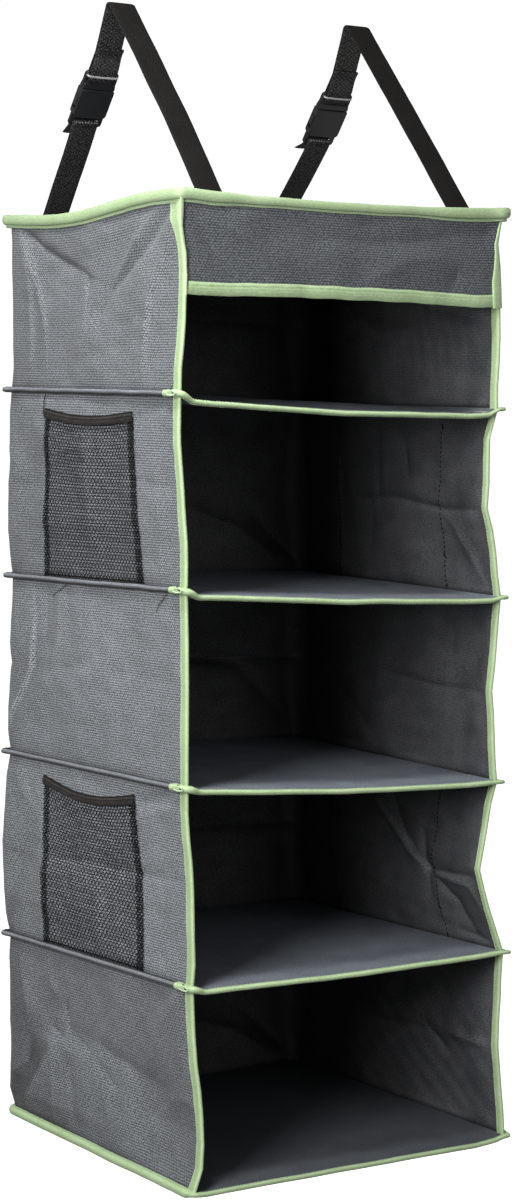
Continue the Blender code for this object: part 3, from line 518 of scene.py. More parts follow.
# Flat facets between the sharp creases at the back left. Each row is mm below the upper seam, then four
# or five places as (mm from the back edge, height in mm), from the front to the back
FACETS = (
    (),
    (
        (0, (36, 0), (14, 0), (8, 0), (1, 0)), (7, (42, 0.3), (18, 0.8), (9, -0.5), (2, -1)),
        (30, (75, 0.5), (52, 1.2), (26, -2.5), (4, -4.5)), (48, (102, 0.5), (77, 1.5), (37, -3), (5, -5)),
        (64, (104, 0.3), (80, 0.8), (32, -1.5), (6, -3)), (75, (98, 0), (72, -0.5), (32, -1), (7, -3)),
        (81, (96, 0), (70, -0.8), (32, -3.2), (7, -3.8)), (111, (96, 0.6), (74, 1.4), (34, -4.5), (6, -6.5)),
        (148, (50, 0.5), (26, 0.8), (10, -2), (2, -3)), (160, (30, 0), (14, 0), (6, 0), (0, 0)),
    ),
    (
        (0, (112, 0), (88, 0), (51, 0), (47, 0), (8, 0)),
        (25, (116, 0), (92, 0), (53, -1.5), (49.5, 0.3), (8, -2.5)),
        (50, (116, 0), (93, 0.5), (56, -3), (52, 1), (9, -5)),
        (80, (112, 0.5), (88, 1.5), (54, -4.5), (50, 1.5), (8, -6)),
        (105, (84, 0.5), (60, 1.5), (37, -3.5), (33, 1.2), (6, -3.5)),
        (124, (62, 0.5), (39, 1.3), (21, -3), (17, 0.8), (4, -2)),
        (146, (40, 0.4), (15, 0.8), (8, -1.5), (5, 0), (1, -1)),
        (156, (24, 0), (5, 0), (2, 0), (0, 0), (-6, 0)),
    ),
    (
        (0, (44, 0), (26, 0), (14, 0), (4, 0)), (25, (46, 0.3), (27, 0.8), (16, -0.8), (4, -1.5)),
        (34, (54, 0.4), (34, 1), (19, -1.5), (5, -2.5)), (57, (86, 0.6), (64, 1.4), (32, -2), (6, -4)),
        (82, (92, 0.2), (69, 0.2), (32, -2.2), (6, -4.8)), (88, (92, 0), (69, -0.2), (32, -4.2), (6, -5.4)),
        (98, (96, 0.2), (75, 0.6), (36, -4.6), (6, -6.6)), (125, (66, 0.6), (43, 1.6), (20, -4.5), (4, -7)),
        (149, (38, 0.4), (16, 1), (8, -2), (0, -3)), (160, (30, 0), (6, 0), (0, 0), (-6, 0)),
    ),
    (
        (0, (92, 0), (62, 0), (28, 0), (4, 0)), (25, (92, 0), (60, -0.3), (29, 0.4), (5, -1.5)),
        (57, (98, 0.3), (68, -0.2), (38, 0.8), (7, -2.5)), (77, (104, 1), (80, 1.8), (39, -0.5), (7, -3)),
        (85, (100, 1), (77, 2.2), (42, -4.5), (8, -6.5)), (106, (84, 0.8), (60, 2), (40, -5.5), (8, -8)),
        (122, (70, 0.7), (46, 1.8), (15, -7), (6, -8.5)), (137, (58, 0.6), (33, 1.4), (12, -6.5), (3, -7.5)),
        (150, (44, 0.4), (22, 0.8), (8, -3), (0, -3.5)), (157, (34, 0), (12, 0), (4, 0), (-4, 0)),
    ),
)
# Sharp creases along the edges of those facets
CREASES = (
    (),
    ((left((15, 4), (77, 48), (80, 62)), -1.1, 10, 4), (left((74, 111), (26, 148)), 1.1, 9, 3)),
    ((left((87, 81), (6, 154)), 1.2, 10, 3),),
    ((left((75, 97), (16, 149)), 1.2, 10, 3), (left((26, 25), (33, 34), (63, 56)), -0.9, 8, 3)),
    ((left((81, 80), (23, 149)), 1.1, 8, 3), (left((42, 87), (40, 105), (14, 122)), 0.9, 6, 3)),
)
BACK_FOLDS = (
    ([(500, 76), (555, 86), (602, 129)], -4.0, 8, 8),
    ([(500, 100), (560, 118), (600, 145)], 3.0, 8, 8),
    ([(470, 78), (628, 80)], -3.0, 4, 5),
    ([(565, 96), (622, 149)], -3.0, 6, 6),
    ([(340, 30), (420, 80), (520, 60)], 3.0, 14, 14),
    ([(380, 150), (440, 100)], -2.5, 8, 10),
)
RIGHT_FOLDS = (
    (([(700, 60), (760, 90), (850, 84)], 1.6, 12, 12), ([(820, 20), (845, 70), (930, 84)], -1.6, 7, 7)),
    (
        ([(945, 80), (880, 86), (800, 80), (740, 84)], 2.2, 4, 4),
        ([(700, 20), (712, 70), (708, 120)], 1.5, 7, 9),
        ([(770, 20), (775, 90)], 1.3, 5, 6),
        ([(815, 30), (822, 60)], 1.3, 3, 4),
        ([(760, 100), (752, 130)], 1.2, 4, 4),
        ([(880, 90), (905, 120), (925, 150)], -1.6, 5, 6),
    ),
    (
        ([(945, 82), (860, 84), (780, 80)], 1.4, 4, 4), ([(880, 30), (890, 80)], 1.0, 8, 8),
        ([(720, 110), (760, 140)], 1.2, 7, 7),
    ),
    (
        ([(855, 60), (862, 90), (858, 118)], 3.2, 4, 5),
        ([(775, 40), (855, 92)], -2.2, 3, 4),
        ([(862, 92), (900, 118), (915, 150)], 2.4, 4, 5),
        ([(868, 96), (925, 100), (938, 128)], -2.4, 4, 4),
        ([(862, 94), (945, 88)], 2.6, 4, 4),
        ([(893, 148), (930, 152)], 1.6, 3, 3),
        ([(862, 90), (820, 60), (800, 30)], 1.6, 4, 5),
    ),
    (
        ([(840, 78), (872, 96)], 2.4, 4, 5), ([(876, 80), (932, 80)], -2.0, 3, 4),
        ([(760, 90), (840, 84)], 1.2, 6, 6), ([(900, 100), (880, 140)], 1.2, 6, 6),
        ([(800, 40), (760, 80)], -1.2, 6, 6),
    ),
)
# How far the back left corner stands out, in mm at nine places from the lower seam to the upper one
CORNER_PUSH = (
    (0, 0.2, 3.5, 5.3, 6.1, 5.7, 4.1, 1.1, 0), (0, 5.7, 10.8, 12.2, 12.4, 9.2, 7.8, 5.2, 0),
    (0, 4.8, 7.8, 8.6, 8.9, 9.9, 7.2, 3.2, 0), (0, 8.3, 13.5, 16.4, 17.9, 15.4, 11.8, 7.6, 0),
    (0, 10.9, 12.4, 12.2, 12.5, 10.5, 7.6, 5.0, 0),
)
# How much painted light or shade each wall's cloth gets, and how strongly the slopes of its facets are
# painted as light and shade
PAINTED_LIGHT = (0.0, 0.18, 0.50, 0.66, -0.32)
FACET_PAINTED_SHADE = (1.0, 0.9, 0.8, 1.2, 1.8)


def fold_height(lines, s, b):
    """Height of the cloth in mm for a list of folds, at s mm along the wall and b mm below the seam."""
    total = np.zeros(np.broadcast(s, b).shape)
    for points, amount, first, second in lines:
        best = np.full(total.shape, np.inf)
        signed = np.zeros(total.shape)
        at = np.zeros(total.shape)
        lengths = [math.dist(p, q) for p, q in zip(points, points[1:])]
        whole, run = sum(lengths), 0.0
        for (p, q), length in zip(zip(points, points[1:]), lengths):
            d = ((q[0] - p[0]) / length, (q[1] - p[1]) / length)
            t = np.clip((s - p[0]) * d[0] + (b - p[1]) * d[1], 0, length)
            ds, db = s - p[0] - t * d[0], b - p[1] - t * d[1]
            distance = np.hypot(ds, db)
            side = np.sign(d[0] * db - d[1] * ds)
            closer = distance < best
            best = np.where(closer, distance, best)
            signed = np.where(closer, side, signed)
            at = np.where(closer, (run + t) / whole, at)
            run += length
        width = np.where(signed < 0, first, second)
        reach = (np.sqrt(best ** 2 + 1.0) - 1.0) / width
        total = total + amount * np.exp(-reach) * (0.55 + 0.45 * np.sin(math.pi * at))
    return total


def facet_height(rows, a, b):
    """Height of the flat facets in mm, at a mm from the back edge and b mm below the seam."""
    a, b = np.broadcast_arrays(np.asarray(a, float), np.asarray(b, float))
    total = np.zeros(a.shape)
    if not rows:
        return total
    below = [row[0] for row in rows]
    lines = np.array([row[1:] for row in rows], float)
    place, height = ([np.interp(b, below, line) for line in lines[:, :, k].T] for k in (0, 1))
    for k in range(len(place) - 1, 0, -1):
        share = np.clip((a - place[k]) / (place[k - 1] - place[k]), 0, 1)
        total = np.where(a > place[k], height[k] + (height[k - 1] - height[k]) * share - height[-1], total)
    fading = (height[0] - height[-1]) * smooth(240 - a, 0, 240 - place[0])
    return 0.45 * np.where(a > place[0], fading, total)


def wall_plan(s, radius):
    """Where s metres along the wall is from above, and which way is out."""
    side = 2 * HALF
    x = np.where(s < side, -HALF, np.where(s < 2 * side, s - side - HALF, HALF))
    y = np.where(s < side, s - HALF, np.where(s < 2 * side, HALF, 3 * side - s - HALF))
    nx = np.where(s < side, -1.0, np.where(s < 2 * side, 0.0, 1.0))
    ny = np.where(s < side, 0.0, np.where(s < 2 * side, 1.0, 0.0))
    for corner, sign in ((side, -1.0), (2 * side, 1.0)):
        off = (s - corner) * (1.0 if sign < 0 else -1.0)
        within = np.abs(off) < radius
        angle = (off + radius) / (2 * radius) * math.pi / 2
        x = np.where(within, sign * (HALF - radius + radius * np.cos(angle)), x)
        y = np.where(within, HALF - radius + radius * np.sin(angle), y)
        nx = np.where(within, sign * np.cos(angle), nx)
        ny = np.where(within, np.sin(angle), ny)
    return x, y, nx, ny


def side_run(side, y):
    """Metres along a wall at y on its left (-1) or right (1) side."""
    return y + HALF if side < 0 else 5 * HALF - y


def wall_height(number, s, h, folds_only=False):
    """How far the wall's cloth stands out, in metres, or its folds alone in millimetres."""
    mm, drop = s * 1000, (1 - h) * HEIGHTS[number - 1] * 1000
    total = 1.15 * fold_height(FOLDS[number - 1] + CREASES[number - 1], mm, drop)
    total = total + 1.5 * fold_height(BACK_FOLDS[(number * 2) % 3::2], mm, drop)
    total = total + fold_height(RIGHT_FOLDS[number - 1], mm, drop)
    if number in POCKETS:
        pucker = 0.5 + 0.5 * waves(drop, 0 * mm, 9.0, number + 50)
        for y in POCKET_SEAMS:
            place = SIDE_MM * 2.5 - y * 1000
            total = total - 1.1 * pucker * np.exp(-np.abs(mm - place) / 5.0) * smooth(drop, 10, 20)
    calm = 1 - 0.75 * bell(mm - SIDE_MM, 45)
    total = total * (1 - 0.45 * bell(mm - SIDE_MM, 18))
    soft = 1.3 * waves(mm, drop * 0.8, 110.0, number) + 0.3 * waves(mm, drop, 26.0, number + 20)
    back = np.sin(math.pi * np.clip((mm - SIDE_MM) / SIDE_MM, 0, 1))
    total = total + calm * soft - 4.0 * np.sin(math.pi * h) * back
    ends = smooth(np.minimum(mm, 3 * SIDE_MM - mm), 0, 24)
    total = total * ends * smooth(h, 0, 0.07) * smooth(1 - h, 0, 0.07)
    if folds_only:
        return total
    total = total + facet_height(FACETS[number - 1], SIDE_MM - mm, drop)
    push = np.interp(h, NINE, CORNER_PUSH[number - 1])
    return total / 1000, push * bell(mm - SIDE_MM, 34) / 1000


def wall_points(number, s, h, out=0.0):
    """Places on the outer face of a wall, s metres along it and h from its lower to its upper seam."""
    s, h = np.broadcast_arrays(np.asarray(s, float), np.asarray(h, float))
    radius = CORNER_LOW + (CORNER_MIDDLE - CORNER_LOW) * np.sin(math.pi * h)
    x, y, nx, ny = wall_plan(s, radius)
    share = np.clip((y + HALF - 0.012) / (2 * HALF - 0.042), 0, 1)
    near_back = smooth(HALF - y, 0.0, 0.03)
    left_in = np.interp(h, NINE, LEFT_EDGES[number - 1][::-1])
    right_in = np.interp(h, NINE, RIGHT_EDGES[number - 1][::-1])
    tuck = np.where(s < 2 * HALF, left_in, np.where(s > 4 * HALF, right_in, 0.0)) / 1000
    tuck = tuck * (1 - 0.65 * share) * near_back
    height, push = wall_height(number, s, h)
    stand = height + out - tuck
    x, y = x + nx * stand - 0.4 * push, y + ny * stand + 0.9 * push
    low, high = SEAMS[number] + WALL_GAP, SEAMS[number - 1] - WALL_GAP
    lower, upper = warp(number, x, y), warp(number - 1, x, y)
    points = np.stack([x, y, low + (high - low) * h], -1)
    return points + lower + (upper - lower) * smooth(h)[..., None]


def make_wall(number):
    """One compartment's wall: a strip of cloth round the left side, the back and the right side."""
    side, corner = 2 * HALF, 0.026
    stops = (0.0, side - corner, side + corner, 2 * side - corner, 2 * side + corner, 3 * side)
    counts = (150, 26, 50, 20, 96)
    s = np.unique(np.concatenate([np.linspace(a, b, n) for a, b, n in zip(stops, stops[1:], counts)]))
    h = np.linspace(0, 1, 82)
    height = HEIGHTS[number - 1]
    shell = cloth_shell(wall_points(number, s[:, None], h[None, :]), spread(s, h * height), CLOTH, -1.0)
    mm, below, above = s * 1000, h * height * 1000, (1 - h) * height * 1000
    # Painted shade in both seams and near the back left corner, painted light and shade by the slope of folds
    # and facets elsewhere, and painted light on the inside of the back
    shade = -(2.2 * bell(above, 3.4) + 1.8 * bell(below, 3.2))
    shade = shade[None, :] - (0.7 if number == 1 else 0.25) * bell(mm - SIDE_MM + 3, 9)[:, None]
    # Slopes of the folds and facets, turned into painted light and shade
    along, down = np.gradient(wall_height(number, s[:, None], h[None, :], True), mm, -above)
    facets = facet_height(FACETS[number - 1], SIDE_MM - mm[:, None], above[None, :])
    across, fall = np.gradient(facets, mm, -above)
    painted_shading_out = shade + PAINTED_LIGHT[number - 1] + np.clip(
        2.2 * (along - down) + FACET_PAINTED_SHADE[number - 1] * (9.0 * across - 4.0 * fall), -1.5, 0.8)
    # Painted light on the inside of the back wall
    painted_back_light = 1.3 * smooth(mm, SIDE_MM, 1.08 * SIDE_MM) * (1 - smooth(mm, 1.75 * SIDE_MM, 1.98 * SIDE_MM))
    painted_shading_in = shade + painted_back_light[:, None] + np.clip(2.2 * (along + down), -1.5, 1.5)
    wall = put(f"cloth_wall_{number}", shell, (OUTER, INNER), number, f"wall_{number}",
               edge=np.stack([painted_shading_out, painted_shading_in]))


def edge_tape(number, side):
    """Green tape folded over a wall's front edge, sewn through both legs."""
    name = f"wall_{number}_binding_{WORD[side]}"
    h = np.linspace(0.0, 1.0, 64)
    leg, rim, run, around = 0.0088, 0.0006, 0.157, 0.0028
    if side > 0:
        narrow = 1 - np.interp(h, NINE, RIGHT_EDGES[number - 1][::-1]) * 0.018
        narrow = narrow * (0.90 + 0.22 * smooth(h, 0.2, 0.5) if number == 1 else 0.8)
    else:
        narrow = 1 + 0.8 * smooth(h, 0.72, 0.97) * (number == 1)
    s_of = (lambda d: d) if side < 0 else (lambda d: 6 * HALF - d)
    ripple = 0.0004 * waves(h * 160, 0 * h, 30.0, number + 40 + side)
    outer = [(leg, 0.0005), (leg - rim, 0.0011), (leg * 0.6, 0.0012), (leg * 0.25, 0.0012), (0.0, 0.0011)]
    inner = [(0.0, -0.0019), (leg * 0.25, -0.0021), (leg * 0.6, -0.0021), (leg - rim, -0.0020),
             (leg, -0.0013)]
    lining = [(leg, -0.0009), (rim, -0.0009), (rim, 0.0002), (leg, 0.0002)]
    nose = [(-0.0008, 0.0006), (-0.0011, -0.0004), (-0.0008, -0.0014)]
    profile = outer + nose + inner + lining
    rows = []
    for d, out in profile:
        p = wall_points(number, s_of((max(d, 0.0) + ripple * (d > 0.004)) * narrow), h, out)
        p[:, 1] += min(d, 0)
        rows.append(p)
    points = np.stack(rows, 1)
    faces = tube_faces(len(h), len(profile))
    if side > 0:
        faces = [f[::-1] for f in faces]
    # Painted highlights on the tape's folded edges and nose, a little painted shade on its flat legs
    painted_shading = [1.2, 1.0, -0.15, -0.15, 0.5] + [0.9, 0.4, 0.6] + [0.5, -0.15, -0.15, 0.8, 1.0] + [0] * 4
    put(f"tape_{name}", (points, faces, spread(h * run, np.arange(len(profile)) * around)), (GREEN,),
        number, name, sharp=60, edge=np.broadcast_to(painted_shading, points.shape[:2]))
    rows = [stitches(wall_points(number, s_of((leg - 0.0022) * narrow), h, out), (side * turned, 0, 0))
            for out, turned in ((0.00125, 1), (-0.00215, -1))]
    put(f"stitching_{name}", joined(rows), (THREAD_GREEN,), number)


# Panels
def panel_grid(inset, count):
    """A rounded square seen from above, as a grid with its back corners drawn in."""
    a = np.linspace(-1, 1, count)
    x, y = np.meshgrid(a, a, indexing="ij")
    half = HALF - inset
    corner = np.clip(np.minimum(1 - np.abs(x), 1 - y), 0, None)
    pull = bell(corner, 0.02) * (y > 0) * bell(1 - np.abs(x), 0.03) * bell(1 - y, 0.03) * 0.0022
    return x * half - np.sign(x) * pull, y * half - pull


# How much painted light or shade each panel's upper cloth gets
SHELF_PAINTED_LIGHT = (0.0, 0.4, 1.2, 1.15, 0.85, -0.3)


def make_panel(level):
    """A panel's upper and lower cloth."""
    label = BODIES[level]
    x, y = panel_grid(0.0012, 46)
    edge = np.minimum.reduce([HALF - np.abs(x), HALF - np.abs(y)])
    rim = smooth(edge, 0.0012, 0.007)
    for turned, word in ((1, "upper"), (-1, "lower")):
        soft = 0.0004 * waves(x * 1000, y * 1000, 90.0, level * 2 + (turned > 0) + 60) * rim
        z = SEAMS[level] + turned * (0.0016 + (SLEEVE_HALF - 0.0016) * rim + np.abs(soft))
        points = np.stack([x, y, z], -1) + warp(level, x, y)
        shell = cloth_shell(points, np.stack([x, y], -1), PANEL_CLOTH, float(turned))
        # Only the upper cloth gets its panel's painted light and shade
        cloth = put(f"{label}_{word}_cloth", shell, (SHELF, SHELF), label,
                    f"{label}_sleeve" if turned > 0 else None,
                    edge=np.full(len(shell[0]), SHELF_PAINTED_LIGHT[level] if turned > 0 else 0.0))


def make_board(level):
    """The stiffening board inside a sleeve, lying as its panel lies."""
    label = BODIES[level]
    a = np.linspace(-HALF + 0.004, HALF - 0.004, 24)
    x, y = np.meshgrid(a, a, indexing="ij")
    points = np.stack([x, y, np.full_like(x, SEAMS[level] + BOARD_THICKNESS / 2)], -1) + warp(level, x, y)
    shell = cloth_shell(points, np.stack([x, y], -1), BOARD_THICKNESS)
    put(f"board_{label}", shell[:3], (BOARD,), label, f"{label}_board")


def ring_path(corners, radii):
    """A path through corners, each rounded by its own radius."""
    points = []
    for i, radius in enumerate(radii):
        corner = np.array(corners[i], float)
        back = np.array(corners[i - 1]) - corner
        ahead = np.array(corners[(i + 1) % len(corners)]) - corner
        back, ahead = back / np.linalg.norm(back), ahead / np.linalg.norm(ahead)
        if radius <= 0:
            points.append(corner)
            continue
        middle = corner + (back + ahead) * radius
        for k in range(7):
            a = k / 6 * math.pi / 2
            points.append(middle - ahead * radius * math.cos(a) - back * radius * math.sin(a))
    return np.array(points)


# The panels' plan, clockwise from the front left
SQUARE = ((-HALF, -HALF), (-HALF, HALF), (HALF, HALF), (HALF, -HALF))


def round_tape(reach, half):
    """A tape folded round a seam, seen from its end: how far out it reaches, and half its height."""
    nose = []
    for k in range(9):
        a = math.radians(-80 + 20 * k)
        nose.append((reach - half * 0.75 + half * 0.75 * math.cos(a), half * math.sin(a)))
    return [(0.0002, -half * 0.92)] + nose + [(0.0002, half * 0.92)]


def panel_tape(level, plan, profile, closed, name, look, replaces, bumps, seed, painted_shades,
               stitch=THREAD_GREEN, swell=None, tint=None):
    """A tape round a panel's edge. Bumps are (x, y, extra reach in mm, width in mm) places where it sticks
    out. Swell gives its size from the place along the edge, and tint the painted shade there; the list of
    shades is the painted light and shade round its profile."""
    plan = resampled(plan, 0.0025, closed)
    x, y = plan.T
    along = tangents(plan, closed)
    outward = np.stack([-along[:, 1], along[:, 0], 0 * x], -1)
    scale = 1 + 0.03 * waves(x * 1000, y * 1000, 40.0, seed)
    if swell is not None:
        scale = scale * swell(x, y)
    path = np.stack([x, y, np.full(len(x), SEAMS[level])], 1)
    for bx, by, extra, width in bumps:
        near = bell(np.hypot(x - bx, y - by) * 1000, width)
        path[:, :2] += np.array([np.sign(bx), np.sign(by)]) / math.sqrt(2) * (near * extra / 1000)[:, None]
    path = path + warp(level, path[:, 0], path[:, 1])
    path[:, 2] += 0.00025 * waves(x * 1000, y * 1000, 60.0, seed + 3)
    up = np.broadcast_to((0.0, 0.0, 1.0), path.shape)
    # Painted light and shade round the profile, with painted shade along the edge
    edge = np.broadcast_to(painted_shades, (len(path), len(profile)))
    if tint is not None:
        edge = edge + tint(x, y)[:, None]
    put(name, sweep(path, outward, up, profile, closed, scale), (look,), BODIES[level], replaces,
        sharp=60, edge=edge)
    reach, highest = np.max(profile, axis=0)
    size = scale[:, None]
    rows = [stitches(path + outward * (reach * 0.28 * size) + up * side * highest * size, (0, 0, side))
            for side in (-1, 1)]
    put(f"stitching_{name}", joined(rows), (stitch,), BODIES[level])


def make_edges(level):
    """The tapes round a panel: one ring on the top and the base, a front tape and piping on a shelf."""
    label = BODIES[level]
    if level == 0:
        profile = [(0.0003, -0.0068), (0.0014, -0.0069), (0.0019, -0.0064), (0.0019, -0.0055),
                   (0.0013, -0.0048), (0.0012, -0.0044), (0.0028, -0.0043), (0.0042, -0.0033),
                   (0.0051, -0.0014), (0.0053, 0.0014), (0.0047, 0.0035), (0.0033, 0.0046), (0.0015, 0.0044),
                   (0.0003, 0.0036)]
        # Painted highlight on the roll's top and a painted shadow in the groove above the lip
        painted_shades = [-0.7, -0.5, 0.3, -0.3, -1.2, -1.4, -0.8, 0.0, 0.1, 0.1, 0.3, 0.7, 0.5, 0.0]
        panel_tape(0, ring_path(SQUARE, (0.002, 0.006, 0.008, 0.002)), profile, True, "top_edge_tape", GREEN,
                   "top_binding", ((HALF, -HALF, 5.0, 6.0), (-HALF, HALF, 3.0, 6.0)), 11,
                   painted_shades,
                   swell=lambda x, y: 1 - 0.24 * smooth(-y, 0.14, 0.155)
                   * smooth(HALF - np.abs(x + 0.01), 0.03, 0.08))
        return
    # Painted light and shade round a rolled tape: painted shade on its underside, a painted highlight on its
    # top
    round_painted_shades = [-1.0, -1.1, -1.0, -0.6, 0.0, 0.3, 0.9, 1.3, 1.2, 1.0, 0.6]
    if level == len(SEAMS) - 1:
        # The base tape's painted light is weaker and its painted shade darker all over
        panel_tape(level, ring_path(SQUARE, (0.002, 0.008, 0.008, 0.002)), round_tape(0.0048, BINDING_HALF),
                   True, "base_edge_tape", GREEN, "base_binding", ((HALF, -HALF, 4.0, 4.0),),
                   12, [v * 0.7 - 0.35 for v in round_painted_shades],
                   swell=lambda x, y: 1.35 - 0.65 * smooth(-y, HALF - 0.008, HALF - 0.001))
        return
    turn = -HALF + 0.018
    front = ring_path(((HALF, turn), (HALF, -HALF), (-HALF, -HALF), (-HALF, turn)), (0, 0.002, 0.002, 0))
    # The front tape's right end is darker: painted shade
    panel_tape(level, front, round_tape(0.0044, 0.0020), False, f"{label}_front_tape", GREEN,
               f"{label}_front_binding", ((HALF, -HALF, 5.5, 4.0), (-HALF, -HALF, 1.5, 5.0)), 13 + level,
               round_painted_shades,
               swell=lambda x, y: 1 + 0.40 * smooth(-x, HALF - 0.012, HALF - 0.002)
               - 0.25 * smooth(x, HALF - 0.012, HALF - 0.002),
               tint=lambda x, y: -1.3 * smooth(x, HALF - 0.004, HALF + 0.001))
    back = ring_path(((-HALF, turn), (-HALF, HALF), (HALF, HALF), (HALF, turn)), (0, 0.005, 0.006, 0))
    # Painted shade above and below the piping and a painted highlight on its top
    panel_tape(level, back, round_tape(0.0045, 0.0022), False, f"{label}_piping_tape", PIPING,
               f"{label}_piping", ((-HALF, HALF, 4.0, 5.0), (HALF, HALF, 3.0, 5.0)), 23 + level,
               [-1.8, -1.9, -1.8, -1.5, -1.0, 0.0, 1.0, 1.4, 0.5, -1.2, -1.7], THREAD_GREY)


def thread(points, radius):
    """A loose thread along points, as a thin rod."""
    line = resampled(points, 0.0009)
    along = tangents(line)
    side = unit(np.cross(along, (0.3, 0.5, 0.81)))
    return sweep(line, side, np.cross(along, side), circle(5, radius))


def corner_knots(level):
    """Where the front tape is tied off over the side tape at the front left corner, and its loose ends. The
    dark threads are partly thread ends and partly painted shade in the knot's gaps.
    """
    label = BODIES[level]
    origin = np.array((-HALF - 0.0060, -HALF, SEAMS[level])) + warp(level, [-HALF], [-HALF])[0]
    # Dark threads: thread ends, and painted shade in the knot's gaps
    dark = (
        (((0.6, 5, 3.0), (-0.2, 2.5, 1.4), (-0.2, 0, 0.2), (0.8, -3, -0.4)), 0.0006),
        (((0.0, 9, -1.2), (-0.3, 5, -1.4), (0.0, 1, -2.6)), 0.0005),
        (((-1.0, 0, 3.0), (-2.2, -1.5, 5.0), (-1.5, -2.5, 6.5)), 0.0002),
    )
    parts = [thread(origin + np.array(places) / 1000, radius) for places, radius in dark]
    put(f"{label}_corner_thread", joined(parts), (THREAD_BLACK,), label)
    a = np.linspace(0.5, 2 * math.pi - 0.5, 22)
    loop = np.stack([-0.1 - 0.5 * np.sin(a / 2), 3.0 + 7.5 * np.cos(a), 0.3 + 1.7 * np.sin(a)], -1)
    put(f"{label}_corner_loop", thread(origin + loop / 1000, 0.0007), (THREAD_GREEN,), label)


# The header across the top of the front. Its folds are as the walls', in mm from its left end
HEADER_FOLDS = (
    ([(10, 8), (28, 34), (45, 58)], -2.6, 4, 6),
    ([(22, 12), (60, 24), (90, 52)], 2.4, 8, 9),
    ([(75, 30), (88, 60)], -1.4, 5, 5),
    ([(130, 22), (180, 24), (250, 18), (305, 4)], -2.6, 8, 10),
    ([(175, 58), (215, 36), (260, 34)], 2.6, 9, 12),
    ([(262, 60), (272, 42)], -1.8, 5, 6),
    ([(300, 10), (312, 2)], -2.2, 5, 5),
    ([(110, 48), (170, 50)], 1.4, 14, 12),
)


def header_points(u, v, out=0.0):
    """Places on the header's face: u metres from its left end, v metres below the top seam."""
    u, v = np.broadcast_arrays(np.asarray(u, float), np.asarray(v, float))
    mm, drop = u * 1000, v * 1000
    sewn = smooth(mm, 0, 12) * smooth(SIDE_MM - mm, 0, 12) * smooth(drop, 0, 8)
    inward, outward = (np.interp(v / HEIGHTS[0], NINE, edges[0]) / 1000
                       for edges in (LEFT_EDGES, RIGHT_EDGES))
    x = u - HALF + inward * (1 - u / (2 * HALF)) - outward * u / (2 * HALF)
    depth = (fold_height(HEADER_FOLDS, mm, drop) + 0.9 * waves(mm, drop, 60.0, 81)
             + 0.25 * waves(mm, drop, 15.0, 82)) / 1000
    y = -HALF - 0.0011 - out - depth * sewn
    z = SEAMS[0] - 0.006 - v + 0.0042 * np.sin(math.pi * mm / SIDE_MM) * smooth(drop, 0, 60)
    share = 0.1 * smooth(drop, 0, 60)[..., None]
    return np.stack([x, y, z], -1) + (1 - share) * warp(0, x, y) + share * warp(1, x, y)


def make_header():
    """The header's cloth, the tape along its lower edge and the ends' tapes."""
    u = np.linspace(0.0005, 2 * HALF - 0.0005, 118)
    v = np.linspace(-0.004, 0.0665, 30)
    shell = cloth_shell(header_points(u[:, None], v[None, :]), spread(u, v), CLOTH, -1.0)
    panel = put("header_cloth", shell, (HEADER, INNER), 1, "header_panel")
    low, high = 0.0725, 0.0620
    shape = [(high, 0.0008), (high + 0.002, 0.0012), (low - 0.003, 0.0013), (low - 0.0006, 0.0010),
             (low, 0.0), (low - 0.0006, -0.0012), (low - 0.003, -0.0015), (high + 0.002, -0.0014),
             (high, -0.0010)]
    u = np.linspace(0.002, 2 * HALF - 0.002, 110)
    wander = 0.0003 * waves(u * 1000, 0 * u, 35.0, 83)
    points = np.stack([header_points(u, v + wander, out) for v, out in shape], 1)
    # Painted highlights on the tape's folded edges and painted shade between them
    painted_shading = np.broadcast_to([0.9, 0.4, -0.5, 0.2, 0.6, 0.2, -0.2, 0.2, 0.6], points.shape[:2])
    mesh = points, tube_faces(len(u), len(shape)), spread(u, np.arange(len(shape)) * 0.0025)
    put("header_tape", mesh, (GREEN,), 1, "header_binding", sharp=60, edge=painted_shading)
    v = np.linspace(-0.0030, 0.0735, 40)
    t = np.linspace(0, 1, 9)
    for side, widths, over in ((-1, (2.6, 1.0, 0.6, 0.5), 0.0012), (1, (1.5, 5, 9, 9.5), 0.0002)):
        wide = np.interp(v, (-0.003, 0.03, 0.05, 0.0735), widths)
        wide = wide / 1000 + 0.0002 * waves(v * 1000, 0 * v, 25.0, 84 + side)
        u = -over + t[None, :] * (wide[:, None] + over)
        if side > 0:
            u = 2 * HALF - u
        points = header_points(u, v[:, None], 0.0014 + 0.0007 * np.sin(math.pi * t[None, :]) ** 0.5)
        if side < 0:
            points[..., 1] -= 0.0010 * bell(v[:, None] - 0.042, 0.006) * t[None, :]
        shell = cloth_shell(points, spread(v, t * 0.008), 0.0009, float(-side))
        # Painted highlights on the end tapes' edges
        painted_shading = np.interp(t, (0, 0.15, 0.3, 0.75, 0.9, 1), (0.7, 0.2, -0.2, -0.2, 0.8, 1.2))
        put(f"header_end_tape_{WORD[side]}", shell[:3], (GREEN,), 1, sharp=60,
            edge=np.broadcast_to(painted_shading, (2, *points.shape[:2])))
    u = np.linspace(0.008, 2 * HALF - 0.010, 110)
    line = header_points(u, high + 0.0016, 0.0013)
    put("stitching_header_tape", stitches(line, (0, -1, 0)), (THREAD_GREEN,), 1)


